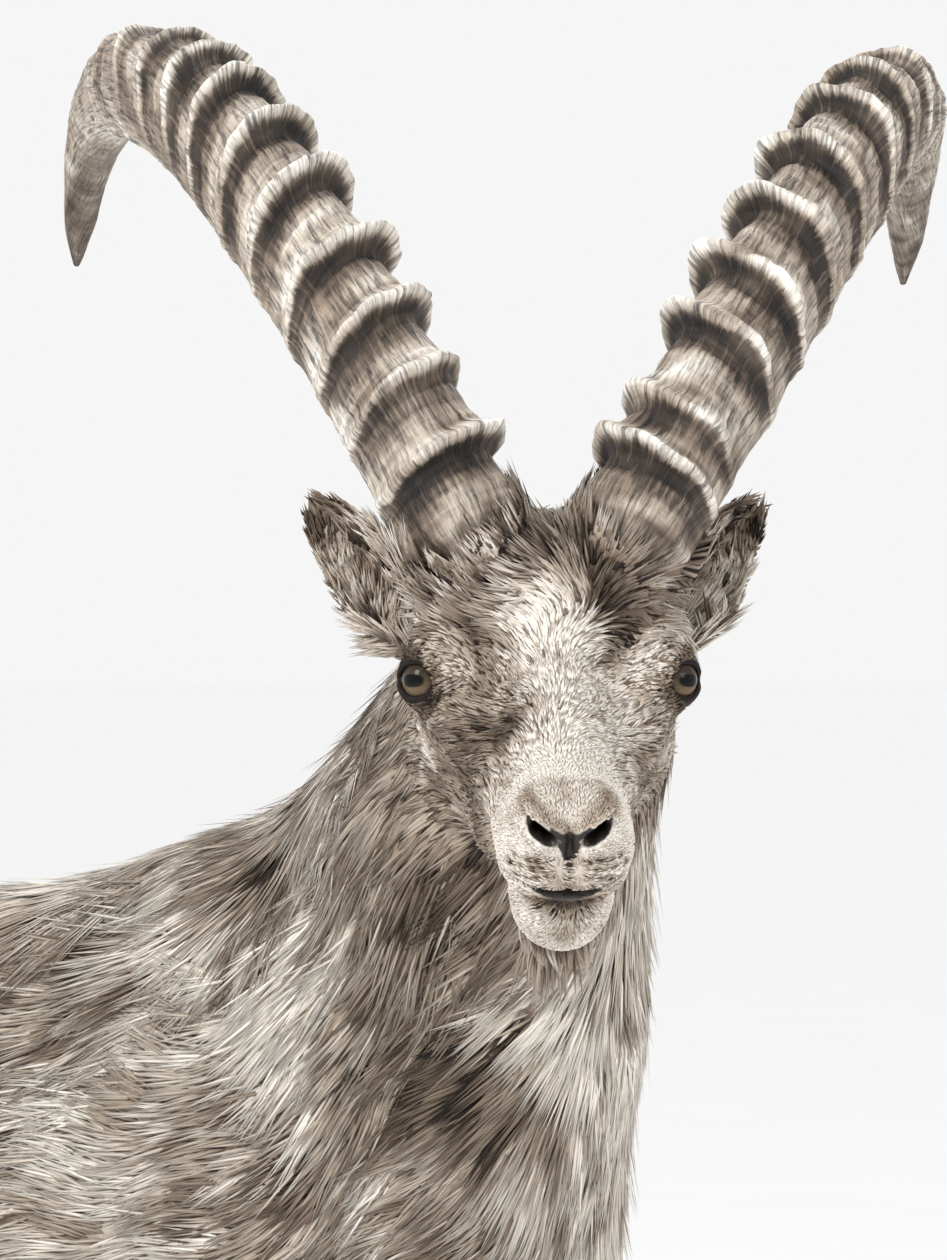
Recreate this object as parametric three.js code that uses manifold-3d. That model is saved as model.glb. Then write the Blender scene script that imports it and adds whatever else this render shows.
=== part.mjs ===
// A life-size alpine ibex, an adult male, standing on a level floor with its head turned to its right.
// Millimetres. +X points from rump to chest, +Y to the animal's left, +Z up, floor at Z = 0.
// The flesh is a set of rounded masses blended into one another. A closed net of triangles is wrapped
// round each body part, and the parts are then cut clear of each other by a thin gap.
import * as THREE from 'three';
import { mergeVertices } from 'three/addons/utils/BufferGeometryUtils.js';
import Module from 'manifold-3d';

const wasm = await Module();
wasm.setup();

// Driving sizes
const GAP = 0.3;
const HEAD_YAW = THREE.MathUtils.degToRad(-61.5);
const HEAD_PITCH = THREE.MathUtils.degToRad(30);
const EYE_HEIGHT = 1020;
const HEAD_AT = new THREE.Vector3(286, -165, EYE_HEIGHT); // midway between the eyes
const EYE_RADIUS = 17;
const EYE_SPREAD = 72; // from the middle of the head to the middle of one eyeball
const EYE_TURN = THREE.MathUtils.degToRad(43); // how far each eye looks out to its side
const EYE_LIFT = THREE.MathUtils.degToRad(20); // and up, so that it looks level from the lowered head
const LID_THICKNESS = 2.6;
const LID_OPENING = { halfWidth: 14, halfHeight: 11 };
const EAR_LENGTH = 124;
const HORN_LENGTH = { left: 820, right: 844 };
const HORN_HALF_WIDTH = 35;
const HORN_HALF_DEPTH = 43;
const RIDGE = { height: 10.5, above: 5.2, below: 4.8 };
const RIDGES_AT = {
  left: [34, 67, 126, 173, 226, 285, 350, 408, 470, 532, 590], // along each horn, from its base
  right: [39, 88, 134, 184, 243, 297, 353, 402, 456, 514, 572],
};
const RIDGE_SIZES = [1, 0.6, 1, 1, 1, 1, 1, 0.9, 0.7, 0.5, 0.35];
const FORE_FOOT_X = 62;
const HIND_FOOT_X = -690;
const FOOT_SPREAD = 84;
const TOE_SPREAD = 15;
const SIDES = { left: 1, right: -1 };

const COLOURS = {
  coat: 0x7d6a55,
  leg: 0x4a3b2f,
  tail: 0x3a2e26,
  face: 0x9a8a76,
  horn: 0x6f6557,
  eye: 0xa8701f,
  hoof: 0x2b2622,
};

const v3 = (p) => new THREE.Vector3(...p);
const mix = (a, b, t) => a + (b - a) * t;
const clamp01 = (t) => Math.min(1, Math.max(0, t));
const smooth = (lo, hi, x) => {
  const t = clamp01((x - lo) / (hi - lo));
  return t * t * (3 - 2 * t);
};

// A small repeatable random source, from 0 to 1.
function randomSource(seed) {
  let state = seed >>> 0;
  return () => {
    state = (state + 0x6d2b79f5) >>> 0;
    let t = Math.imul(state ^ (state >>> 15), 1 | state);
    t = (t + Math.imul(t ^ (t >>> 7), 61 | t)) ^ t;
    return ((t ^ (t >>> 14)) >>> 0) / 4294967296;
  };
}

// Masses of flesh. Each is a function of a point that is negative inside and about the distance outside.
function blob(centre, radii, tilt = 0) {
  const [cx, cy, cz] = centre;
  const [rx, ry, rz] = radii;
  const c = Math.cos(tilt);
  const s = Math.sin(tilt);
  return (p) => {
    const dx = p.x - cx;
    const dz = p.z - cz;
    const x = (c * dx - s * dz) / rx;
    const y = (p.y - cy) / ry;
    const z = (s * dx + c * dz) / rz;
    const near = Math.hypot(x, y, z);
    const slope = Math.hypot(x / rx, y / ry, z / rz);
    return slope < 1e-9 ? -Math.min(rx, ry, rz) : (near * (near - 1)) / slope;
  };
}

function limb(from, to, fromRadius, toRadius) {
  const a = v3(from);
  const along = v3(to).sub(a);
  const span = along.lengthSq();
  const offset = new THREE.Vector3();
  return (p) => {
    offset.copy(p).sub(a);
    const t = clamp01(offset.dot(along) / span);
    return offset.addScaledVector(along, -t).length() - mix(fromRadius, toRadius, t);
  };
}

// A limb that follows several joints, each [x, y, z, radius].
function chain(...joints) {
  const parts = joints.slice(1).map((j, i) => {
    const k = joints[i];
    return limb(k.slice(0, 3), j.slice(0, 3), k[3], j[3]);
  });
  return (p) => parts.reduce((least, part) => Math.min(least, part(p)), Infinity);
}

function blend(width, ...fields) {
  return (p) => fields.reduce((a, field) => {
    const b = field(p);
    const h = Math.max(width - Math.abs(a - b), 0) / width;
    return Math.min(a, b) - h * h * width * 0.25;
  }, 1e9);
}

const bothSides = (field) => {
  const q = new THREE.Vector3();
  return (p) => field(q.set(p.x, Math.abs(p.y), p.z));
};

// The trunk, in the frame of the body
const trunkField = blend(60,
  blob([-170, 0, 672], [320, 142, 184]), // rib cage
  blob([-5, 0, 722], [165, 106, 176]), // shoulders
  blob([-36, 0, 808], [120, 50, 94]), // withers
  blob([118, 0, 640], [116, 104, 142]), // breast
  blob([-10, 0, 545], [170, 72, 70]), // breastbone
  blob([-400, 0, 660], [250, 146, 162]), // belly
  limb([-150, 0, 808], [-610, 0, 797], 66, 80), // back and loin
  blob([-675, 0, 745], [150, 112, 130]), // croup
  bothSides(blob([-640, 72, 672], [128, 72, 168], 0.2)), // haunch
  bothSides(blob([30, 82, 690], [92, 54, 160], -0.3)), // shoulder blade
);
const foreLegField = (side) => blend(20,
  blob([60, 88 * side, 650], [74, 44, 112], -0.4), // upper arm
  chain([20, 94 * side, 570, 58], [12, 96 * side, 510, 50], [28, 88 * side, 335, 31]),
  blob([-34, 92 * side, 582], [28, 24, 36]), // point of the elbow
  blob([33, 86 * side, 302], [32, 29, 40]), // knee
  chain([29, 86 * side, 270, 23], [29, 84 * side, 140, 22]),
  blob([28, 84 * side, 112], [30, 28, 28]), // fetlock
  chain([34, 84 * side, 98, 24], [FORE_FOOT_X - 12, 84 * side, 52, 26]),
  blob([0, (84 + 15) * side, 92], [10, 9, 13]), // dewclaws
  blob([0, (84 - 15) * side, 92], [10, 9, 13]),
);
const hindLegField = (side) => blend(26,
  blob([-640, 84 * side, 640], [122, 60, 150], 0.25), // thigh
  blob([-560, 98 * side, 575], [62, 48, 70]), // stifle
  chain([-580, 94 * side, 560, 72], [-662, 86 * side, 465, 50], [-722, 82 * side, 395, 33]),
  chain([-778, 82 * side, 386, 16], [-706, 85 * side, 520, 34]), // heel tendon
  blob([-746, 82 * side, 352], [34, 27, 42], 0.3), // hock
  chain([-748, 82 * side, 320, 26], [-732, 82 * side, 145, 23]),
  blob([-731, 82 * side, 114], [31, 29, 29]), // fetlock
  chain([-724, 83 * side, 98, 25], [HIND_FOOT_X - 12, 84 * side, 52, 26]),
  blob([-760, (82 + 15) * side, 94], [10, 9, 13]), // dewclaws
  blob([-760, (82 - 15) * side, 94], [10, 9, 13]),
);
const tailField = chain([-800, 0, 806, 30], [-850, 0, 790, 25], [-888, 0, 735, 19], [-900, 0, 690, 8]);

// Points of the head's level frame: ahead of, left of and above the middle of the eyes
const ahead = new THREE.Vector3(Math.cos(HEAD_YAW), Math.sin(HEAD_YAW), 0);
const leftward = new THREE.Vector3(-Math.sin(HEAD_YAW), Math.cos(HEAD_YAW), 0);
function fromEyes(forward, left, up) {
  const p = HEAD_AT.clone().addScaledVector(ahead, forward).addScaledVector(leftward, left);
  return [p.x, p.y, p.z + up];
}
const neckField = blend(80,
  chain([16, 0, 850, 58], [108, -26, 912, 58], [...fromEyes(-112, 0, 8), 52]), // nape
  chain([150, 0, 650, 92], [200, -36, 800, 90], [...fromEyes(-82, 4, -66), 62]), // throat
  chain([70, 0, 750, 92], [...fromEyes(-100, 0, -20), 60]),
);

// The head in its own frame: +X towards the nose along the face, +Y left, +Z up, origin between the eyes
const headMasses = blend(22,
  blob([-62, 0, 14], [72, 68, 54]), // brain case
  blob([-36, 0, 42], [54, 58, 42]), // forehead
  bothSides(limb([-50, 38, 42], [-51, 51, 60], 40, 42)), // horn bases
  limb([-5, 0, 16], [142, 0, -11], 29, 20), // bridge of the nose
  bothSides(limb([-6, 32, -26], [118, 15.5, -26], 38, 21)), // upper jaw
  blob([138, 0, -20], [42, 32.5, 32]), // muzzle
  bothSides(blob([154, 15.5, -27], [25, 17.5, 17])), // upper lip
  bothSides(blob([157, 16, 2], [18, 11.5, 13])), // wings of the nose
  bothSides(limb([-50, 42, -66], [60, 24, -66], 30, 23)), // lower jaw
  limb([60, 0, -66], [134, 0, -66], 24, 23),
  blob([143, 0, -66], [27, 25.5, 27]), // chin
  bothSides(blob([-26, 52, -38], [50, 26, 42])), // cheek muscle
  bothSides(limb([36, 50, -20], [-48, 66, -6], 15, 14)), // cheek bone
  bothSides(blob([-8, 64, 13], [33, 22, 24])), // brow
  blob([-108, 0, -8], [42, 54, 50]), // back of the head
);
const mouthHeight = (side) => mix(-37, -31, smooth(0, 36, side));
// The mouth is a shallow fold, and the face hollows a little in front of each eye.
const headField = (p) => {
  const side = Math.abs(p.y);
  const mouth = 3.5 * Math.exp(-(((p.z - mouthHeight(side)) / 3.2) ** 2)) * smooth(100, 116, p.x);
  const fromHollow = Math.hypot((p.x - 44) / 24, (side - 46) / 15, (p.z - 2) / 14);
  return headMasses(p) + mouth + 5 * Math.exp(-(fromHollow ** 2));
};

// Walks out from an inner point until the flesh ends.
function surfaceFrom(field, origin, direction, farthest = 600) {
  const p = new THREE.Vector3();
  const at = (t) => field(p.copy(origin).addScaledVector(direction, t));
  let inner = 0;
  let outer = 0;
  for (let value = at(0); value < 0 && outer < farthest; value = at(outer)) {
    inner = outer;
    outer += Math.max(1, -0.7 * value);
  }
  for (let i = 0; i < 18; i += 1) {
    const middle = (inner + outer) / 2;
    if (at(middle) < 0) inner = middle;
    else outer = middle;
  }
  return origin.clone().addScaledVector(direction, inner);
}

// Directions across an axis: ring angle 0 points to the side, a quarter turn points up.
function acrossAxis(tangent, reference) {
  const side = new THREE.Vector3().crossVectors(reference, tangent).normalize();
  const up = new THREE.Vector3().crossVectors(tangent, side).normalize();
  return (angle) => side.clone().multiplyScalar(Math.cos(angle)).addScaledVector(up, Math.sin(angle));
}

// Closed triangles over rings of equal count, with one point beyond each end.
function closedRings(rings, firstPole, lastPole) {
  const around = rings[0].length;
  const points = [firstPole, ...rings.flat(), lastPole];
  const at = (ring, k) => 1 + ring * around + (k % around);
  const last = points.length - 1;
  const faces = [];
  for (let k = 0; k < around; k += 1) {
    faces.push(0, at(0, k + 1), at(0, k));
    faces.push(last, at(rings.length - 1, k), at(rings.length - 1, k + 1));
    for (let r = 0; r + 1 < rings.length; r += 1) {
      const [a, b, c, d] = [at(r, k), at(r, k + 1), at(r + 1, k + 1), at(r + 1, k)];
      faces.push(a, b, c, a, c, d);
    }
  }
  return facesOut(points, faces);
}

function facesOut(points, faces) {
  let volume = 0;
  for (let i = 0; i < faces.length; i += 3) {
    const [a, b, c] = faces.slice(i, i + 3).map((f) => points[f]);
    volume += a.dot(new THREE.Vector3().crossVectors(b, c));
  }
  const index = volume > 0 ? faces : [...faces].reverse();
  return new THREE.BufferGeometry()
    .setAttribute('position', new THREE.Float32BufferAttribute(points.flatMap((p) => p.toArray()), 3))
    .setIndex(index);
}

// Wraps a closed net round a mass: rings along an axis and a rounded cap past each of its ends.
function wrap(field, axisPoints, { rings, around, caps = 3, reference = [0, 0, 1] }) {
  const axis = new THREE.CatmullRomCurve3(axisPoints.map(v3), false, 'centripetal');
  const made = [];
  const ring = (origin, tangent, lean) => {
    const across = acrossAxis(tangent, v3(reference));
    const loop = [];
    for (let k = 0; k < around; k += 1) {
      const direction = across((2 * Math.PI * k) / around)
        .multiplyScalar(Math.cos(lean))
        .addScaledVector(tangent, Math.sin(lean));
      loop.push(surfaceFrom(field, origin, direction));
    }
    made.push(loop);
  };
  const ends = [0, 1].map((t) => ({ origin: axis.getPointAt(t), tangent: axis.getTangentAt(t) }));
  const capLean = (i) => (Math.PI / 2) * (1 - i / (caps + 1));
  for (let i = 1; i <= caps; i += 1) ring(ends[0].origin, ends[0].tangent, -capLean(i));
  for (let i = 0; i < rings; i += 1) {
    const t = i / (rings - 1);
    ring(axis.getPointAt(t), axis.getTangentAt(t), 0);
  }
  for (let i = caps; i >= 1; i -= 1) ring(ends[1].origin, ends[1].tangent, capLean(i));
  const back = surfaceFrom(field, ends[0].origin, ends[0].tangent.clone().negate());
  const front = surfaceFrom(field, ends[1].origin, ends[1].tangent);
  return closedRings(made, back, front);
}

// Solids, cuts and joins
function solidOf(geometry) {
  const bare = new THREE.BufferGeometry().setAttribute('position', geometry.getAttribute('position'));
  bare.setIndex(geometry.getIndex());
  const merged = mergeVertices(bare, 1e-3);
  return new wasm.Manifold(new wasm.Mesh({
    numProp: 3,
    vertProperties: new Float32Array(merged.getAttribute('position').array),
    triVerts: new Uint32Array(merged.getIndex().array),
  }));
}

function geometryOf(solid) {
  const mesh = solid.getMesh();
  const positions = new Float32Array(mesh.numVert * 3);
  for (let i = 0; i < mesh.numVert; i += 1) {
    positions.set(mesh.vertProperties.subarray(i * mesh.numProp, i * mesh.numProp + 3), i * 3);
  }
  return new THREE.BufferGeometry()
    .setAttribute('position', new THREE.BufferAttribute(positions, 3))
    .setIndex(new THREE.BufferAttribute(new Uint32Array(mesh.triVerts), 1));
}

const join = (...solids) => solids.reduce((a, b) => a.add(b));
const largest = (solid) => solid.decompose().reduce((a, b) => (a.volume() > b.volume() ? a : b));

// The same net moved out, or in, along its normals.
function grown(geometry, by) {
  const copy = geometry.clone();
  copy.computeVertexNormals();
  const place = copy.getAttribute('position');
  const normal = copy.getAttribute('normal');
  for (let i = 0; i < place.count; i += 1) {
    place.setXYZ(i,
      place.getX(i) + normal.getX(i) * by,
      place.getY(i) + normal.getY(i) * by,
      place.getZ(i) + normal.getZ(i) * by);
  }
  return copy;
}
const clearance = (geometry) => solidOf(grown(geometry, GAP));

// A flat, tapered lock of hair. Its root is sunk in the flesh, and it rises off the skin along "lie".
function lock({ root, normal, lie, length, width, thickness, lift, sag = 0, twist = 0 }) {
  const sunk = 0.13 * length;
  const along = lie.clone().addScaledVector(normal, -lie.dot(normal)).normalize();
  const across = new THREE.Vector3().crossVectors(normal, along).normalize();
  const at = (t) => root.clone()
    .addScaledVector(along, (t - 0.06) * length)
    .addScaledVector(normal, (sunk + lift * length) * smooth(-0.1, 0.55, t) - sunk)
    .addScaledVector(across, twist * length * t * t)
    .add(new THREE.Vector3(0, 0, -sag * length * t * t));
  const rings = [0.02, 0.38, 0.72].map((t, i) => {
    const half = 0.5 * width * [0.8, 1, 0.66][i];
    const deep = 0.5 * thickness * mix(1, 0.7, t);
    const centre = at(t);
    return [[half, 0], [0, deep], [-half, 0], [0, -deep]]
      .map(([side, out]) => centre.clone().addScaledVector(across, side).addScaledVector(normal, out));
  });
  return closedRings(rings, at(-0.06), at(1));
}

// Sets locks over a mass, row by row along an axis and round it, with seeded variation.
function coatLocks(field, { axis, rows, columns, angles, lieAt, size, seed }) {
  const random = randomSource(seed);
  const curve = new THREE.CatmullRomCurve3(axis.map(v3), false, 'centripetal');
  const made = [];
  for (let row = 0; row < rows; row += 1) {
    for (let column = 0; column < columns; column += 1) {
      const t = clamp01((row + 0.5 + 0.4 * (random() - 0.5)) / rows);
      const stagger = row % 2 ? 0.5 : 0;
      const turn = (column + stagger + 0.3 * (random() - 0.5)) / columns;
      const angle = mix(angles[0], angles[1], turn);
      const vary = 0.85 + 0.3 * random();
      const swing = random() - 0.5;
      const origin = curve.getPointAt(t);
      const direction = acrossAxis(curve.getTangentAt(t), new THREE.Vector3(0, 0, 1))(angle);
      const root = surfaceFrom(field, origin, direction);
      made.push(solidOf(lock({
        ...size,
        root,
        normal: normalOf(field, root),
        lie: lieAt(root),
        length: size.length * vary,
        width: size.width * (1.7 - 0.7 * vary),
        twist: 0.3 * swing,
      })));
    }
  }
  return made;
}

function normalOf(field, p) {
  const step = 0.5;
  const slope = (x, y, z) => {
    const offset = new THREE.Vector3(x, y, z).multiplyScalar(step);
    return field(p.clone().add(offset)) - field(p.clone().sub(offset));
  };
  return new THREE.Vector3(slope(1, 0, 0), slope(0, 1, 0), slope(0, 0, 1)).normalize();
}

// Trunk, legs and tail
const SPINE = [[-745, 0, 735], [-500, 0, 695], [-150, 0, 685], [150, 0, 655]];
const trunkNet = wrap(trunkField, SPINE, { rings: 19, around: 20, caps: 3 });

function foreLegNet(side) {
  const axis = [[50, 88 * side, 640], [14, 95 * side, 520], [30, 86 * side, 300],
    [29, 84 * side, 120], [FORE_FOOT_X - 14, 84 * side, 50]];
  return wrap(foreLegField(side), axis, { rings: 18, around: 10, caps: 2, reference: [1, 0, 0] });
}

function hindLegNet(side) {
  const axis = [[-625, 84 * side, 640], [-610, 90 * side, 540], [-722, 82 * side, 390],
    [-740, 82 * side, 320], [-731, 82 * side, 120], [HIND_FOOT_X - 14, 84 * side, 50]];
  return wrap(hindLegField(side), axis, { rings: 20, around: 10, caps: 2, reference: [1, 0, 0] });
}

// One toe of a right foot: a rounded wedge that stands on its flat sole.
function toeNet(footX, toe) {
  const y = -FOOT_SPREAD + TOE_SPREAD * toe;
  const field = blend(10,
    limb([footX - 26, y, 14], [footX + 24, y, 6], 15, 11),
    limb([footX - 16, y, 34], [footX + 8, y, 22], 14.5, 12.5),
  );
  return wrap(field, [[footX - 22, y, 20], [footX + 18, y, 14]], { rings: 4, around: 8, caps: 1 });
}

function floorCut(solid) {
  const below = new THREE.BoxGeometry(4000, 2000, 400).translate(0, 0, -200);
  return solid.subtract(solidOf(below));
}

// A big box whose upper inner face is the plane on which a leg leaves the trunk.
function legSpace({ atX, spread, height, slope }, side, by = 0) {
  const reach = 900;
  const box = new THREE.BoxGeometry(spread + 2 * by, reach, reach + 2 * by);
  box.translate(0, 0, -reach / 2);
  box.rotateX(slope * side);
  box.translate(atX, 0, 0);
  const inner = new THREE.BoxGeometry(spread + 2 * by, 400, 1400).translate(atX, (202 - by) * side, 0);
  box.translate(0, 45 * side, height);
  return solidOf(box).intersect(solidOf(inner));
}

// Where each pair of legs leaves the trunk, and where its feet stand
const LEG_PAIRS = {
  foreleg: { net: foreLegNet, footX: FORE_FOOT_X, atX: 10, spread: 200, height: 490, slope: 0.6 },
  hindleg: { net: hindLegNet, footX: HIND_FOOT_X, atX: -665, spread: 420, height: 490, slope: 0.75 },
};

// Head, eyes, ears and horns, in the head's own frame
const HEAD_AXIS = [[-96, 0, 4], [-40, 0, -4], [60, 0, -26], [140, 0, -38]];
const headNet = wrap(headField, HEAD_AXIS, { rings: 25, around: 26, caps: 3 });
const headLevel = new THREE.Matrix4().makeRotationY(-HEAD_PITCH);
const headPlace = new THREE.Matrix4().makeRotationZ(HEAD_YAW)
  .multiply(new THREE.Matrix4().makeRotationY(HEAD_PITCH))
  .setPosition(HEAD_AT);

const eyeAt = (side) => new THREE.Vector3(0, EYE_SPREAD * side, 0);
const eyeLook = (side) => new THREE.Vector3(1, 0, 0)
  .applyEuler(new THREE.Euler(0, -EYE_LIFT, EYE_TURN * side, 'ZYX'));
const eyeNet = (side, radius = EYE_RADIUS) => new THREE.SphereGeometry(radius, 12, 8)
  .rotateX(Math.PI / 2)
  .translate(...eyeAt(side).toArray());

// The opening between the lids: an ellipse pushed out along the eye's line of sight.
function lidOpening(side) {
  const outline = new THREE.Shape();
  outline.absellipse(0, 0, LID_OPENING.halfHeight, LID_OPENING.halfWidth, 0, 2 * Math.PI);
  const prism = new THREE.ExtrudeGeometry(outline, { depth: 30, bevelEnabled: false, curveSegments: 7 });
  prism.rotateY(Math.PI / 2);
  prism.rotateX(-0.1 * side);
  prism.rotateY(-EYE_LIFT);
  prism.rotateZ(EYE_TURN * side);
  return prism.translate(...eyeAt(side).addScaledVector(eyeLook(side), 8).toArray());
}

// A nostril: a slit that runs from the top outer edge of the nose down towards the middle.
function nostril(side) {
  const forward = new THREE.Vector3(1, 0, 0);
  const onNose = (y, z) => surfaceFrom(headField, new THREE.Vector3(152, y * side, z), forward).toArray();
  const [top, middle, low] = [onNose(23.5, 9), onNose(17, 4), onNose(6.5, -2)];
  const field = blend(4, limb(top, middle, 3.6, 5.6), limb(middle, low, 5.6, 2.6));
  const between = (a, b, t) => a.map((value, i) => mix(value, b[i], t));
  const axis = [between(top, middle, 0.3), between(middle, low, 0.6)];
  return wrap(field, axis, { rings: 4, around: 8, caps: 1 });
}

function mouthCut() {
  const slab = new THREE.BoxGeometry(90, 104, 2.2, 1, 4, 1);
  const place = slab.getAttribute('position');
  for (let i = 0; i < place.count; i += 1) {
    place.setZ(i, place.getZ(i) + mouthHeight(Math.abs(place.getY(i))));
    place.setX(i, place.getX(i) + 152);
  }
  return solidOf(slab).subtract(solidOf(grown(headNet, -7)));
}

function beard() {
  const random = randomSource(11);
  const down = new THREE.Vector3(0, 0, -1).applyMatrix4(headLevel);
  return [-1, 0, 1, -1, 0, 1, 0].map((column, i) => {
    const x = 108 + 13 * Math.floor(i / 3) + 4 * random();
    const y = column * 14 + 4 * (random() - 0.5);
    const root = surfaceFrom(headField, new THREE.Vector3(x, y, -66), new THREE.Vector3(0, 0, -1));
    return solidOf(lock({
      root: root.add(new THREE.Vector3(0, 0, 6)),
      normal: new THREE.Vector3(1, 0.25 * column, 0).normalize(),
      lie: down,
      length: 56 + 16 * random(),
      width: 19,
      thickness: 9,
      lift: -0.1,
      twist: 0.2 * (random() - 0.5),
    }));
  });
}

// Short shaggy hair on the brow, between and below the horns.
function forelock() {
  const random = randomSource(23);
  return Array.from({ length: 10 }, (_, i) => {
    const x = (i < 4 ? -46 : -24) + 6 * random();
    const y = (i < 4 ? i - 1.5 : (i - 6.5) * 0.9) * 19 + 5 * (random() - 0.5);
    const root = surfaceFrom(headField, new THREE.Vector3(x, y, 10), new THREE.Vector3(0, 0, 1));
    return solidOf(lock({
      root,
      normal: normalOf(headField, root),
      lie: new THREE.Vector3(1, 0.03 * y + 0.4 * (random() - 0.5), -0.2),
      length: 44 + 8 * random(),
      width: 20,
      thickness: 7,
      lift: 0.06,
      twist: 0.3 * (random() - 0.5),
    }));
  });
}

function headSolid() {
  const lids = Object.values(SIDES).map((side) => solidOf(eyeNet(side, EYE_RADIUS + LID_THICKNESS)));
  let solid = join(solidOf(headNet), ...lids, ...beard(), ...forelock());
  for (const side of Object.values(SIDES)) {
    solid = solid.subtract(solidOf(lidOpening(side)))
      .subtract(solidOf(eyeNet(side, EYE_RADIUS + GAP)))
      .subtract(solidOf(nostril(side)));
  }
  return largest(solid.subtract(mouthCut()));
}

// An ear: a rolled blade that opens into a cup and closes to a point.
// Its own +X runs along it, and its +Z faces its opening.
function earNet(side) {
  const steps = 8;
  const fan = 6;
  const outer = [];
  const inner = [];
  for (let i = 0; i <= steps; i += 1) {
    const t = i / steps;
    const half = 27 * Math.sin(Math.PI * mix(0.22, 0.95, t)) ** 0.6;
    const arc = mix(2.5, 1.15, smooth(0, 0.75, t));
    const radius = half / Math.sin(Math.min(arc, Math.PI / 2));
    const wall = mix(3.2, 1.3, t);
    for (const [list, r] of [[outer, radius], [inner, radius - wall]]) {
      list.push(Array.from({ length: fan + 1 }, (_, k) => {
        const a = mix(-arc, arc, k / fan);
        const bend = 10 * t * t;
        return new THREE.Vector3(EAR_LENGTH * t, r * Math.sin(a), radius * 0.55 - r * Math.cos(a) - bend);
      }));
    }
  }
  const rings = outer.map((row, i) => [...row, ...[...inner[i]].reverse()]);
  const middle = (ring) => ring.reduce((sum, p) => sum.add(p), new THREE.Vector3()).divideScalar(ring.length);
  const first = middle(rings[0]);
  const last = middle(rings[steps]);
  const ear = closedRings(rings, first, last.add(new THREE.Vector3(2.5, 0, 0)));
  return ear.applyMatrix4(earPlace(side));
}

// Each ear grows behind and below the horn and points out and up, its cup facing forward.
function earPlace(side) {
  const along = new THREE.Vector3(-0.4, 0.6 * side, 0.68).normalize();
  const opening = new THREE.Vector3(0.9, 0.3 * side, 0.05);
  opening.addScaledVector(along, -opening.dot(along)).normalize();
  const across = new THREE.Vector3().crossVectors(opening, along);
  const place = new THREE.Matrix4().makeBasis(along, across, opening).setPosition(-62, 66 * side, 22);
  return headLevel.clone().multiply(place);
}

const hornLength = (side) => (side > 0 ? HORN_LENGTH.left : HORN_LENGTH.right);

// The horn's middle line in the head's level frame: it climbs up, back and out, and curls over to its tip.
function hornLine(side) {
  const steps = 140;
  const points = [new THREE.Vector3(-3, 53 * side, 89)];
  const step = hornLength(side) / steps;
  for (let i = 0; i < steps; i += 1) {
    const t = (i + 0.5) / steps;
    const climb = THREE.MathUtils.degToRad(73 - 98 * t + 5 * t ** 2 - 28 * t ** 3);
    const lean = THREE.MathUtils.degToRad(28 - 5 * t - 37 * t ** 2 + 17 * t ** 3 + side * (2 - 2.7 * t));
    points.push(points[i].clone().add(new THREE.Vector3(
      -step * Math.cos(climb) * Math.cos(lean),
      step * Math.sin(lean) * side,
      step * Math.sin(climb) * Math.cos(lean))));
  }
  return points;
}

// How thick the horn is at a share of its length, where 1 is the base. Its root narrows inside the skull.
const hornTaper = (t) => 0.05 + 0.95 * (1 - t ** 4.5) ** 0.85 * mix(1, 0.86, smooth(0.3, 0.9, t));
const rootTaper = (s) => mix(0.6, 1, smooth(-32, 0, s));

// Rounded cross ridges stand on the front of the horn, each over a shallow hollow. One of them is worn.
function ridgeHeight(ridges, s) {
  return ridges.reduce((sum, at, k) => {
    const from = s - at;
    const collar = Math.exp(-(Math.abs(from / (from > 0 ? RIDGE.above : RIDGE.below)) ** 2.3));
    const shoulder = 0.24 * Math.exp(-(((from - 5) / 9) ** 2));
    const hollow = 0.22 * Math.exp(-(((from + 12) / 8) ** 2));
    return sum + RIDGE.height * RIDGE_SIZES[k] * (collar + shoulder - hollow);
  }, 0);
}

// A ridge is highest at a knob on the inner edge of the horn, and fades at its outer edge and its back.
function ridgeShare(toFront, toOutside) {
  const inFront = mix(0.06, 1, smooth(-0.75, 0.3, toFront)) * (1 - 0.75 * smooth(0.55, 1, toOutside));
  return inFront * (1 + 0.35 * Math.max(0, 0.616 * toFront - 0.788 * toOutside) ** 10);
}

// How far down the horn a ring lies at its outer side and back, against its front. Higher rings slant more.
function ringSlant(s, length, toFront, toOutside) {
  const slant = Math.min(2.2, Math.max(0.15, 0.05 + 0.0055 * s)) * (1 - 0.6 * smooth(460, 700, s));
  return slant * smooth(-20, 30, s) * smooth(0, 40, length - s) * (12 * toOutside + 8 * (1 - toFront));
}

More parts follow.
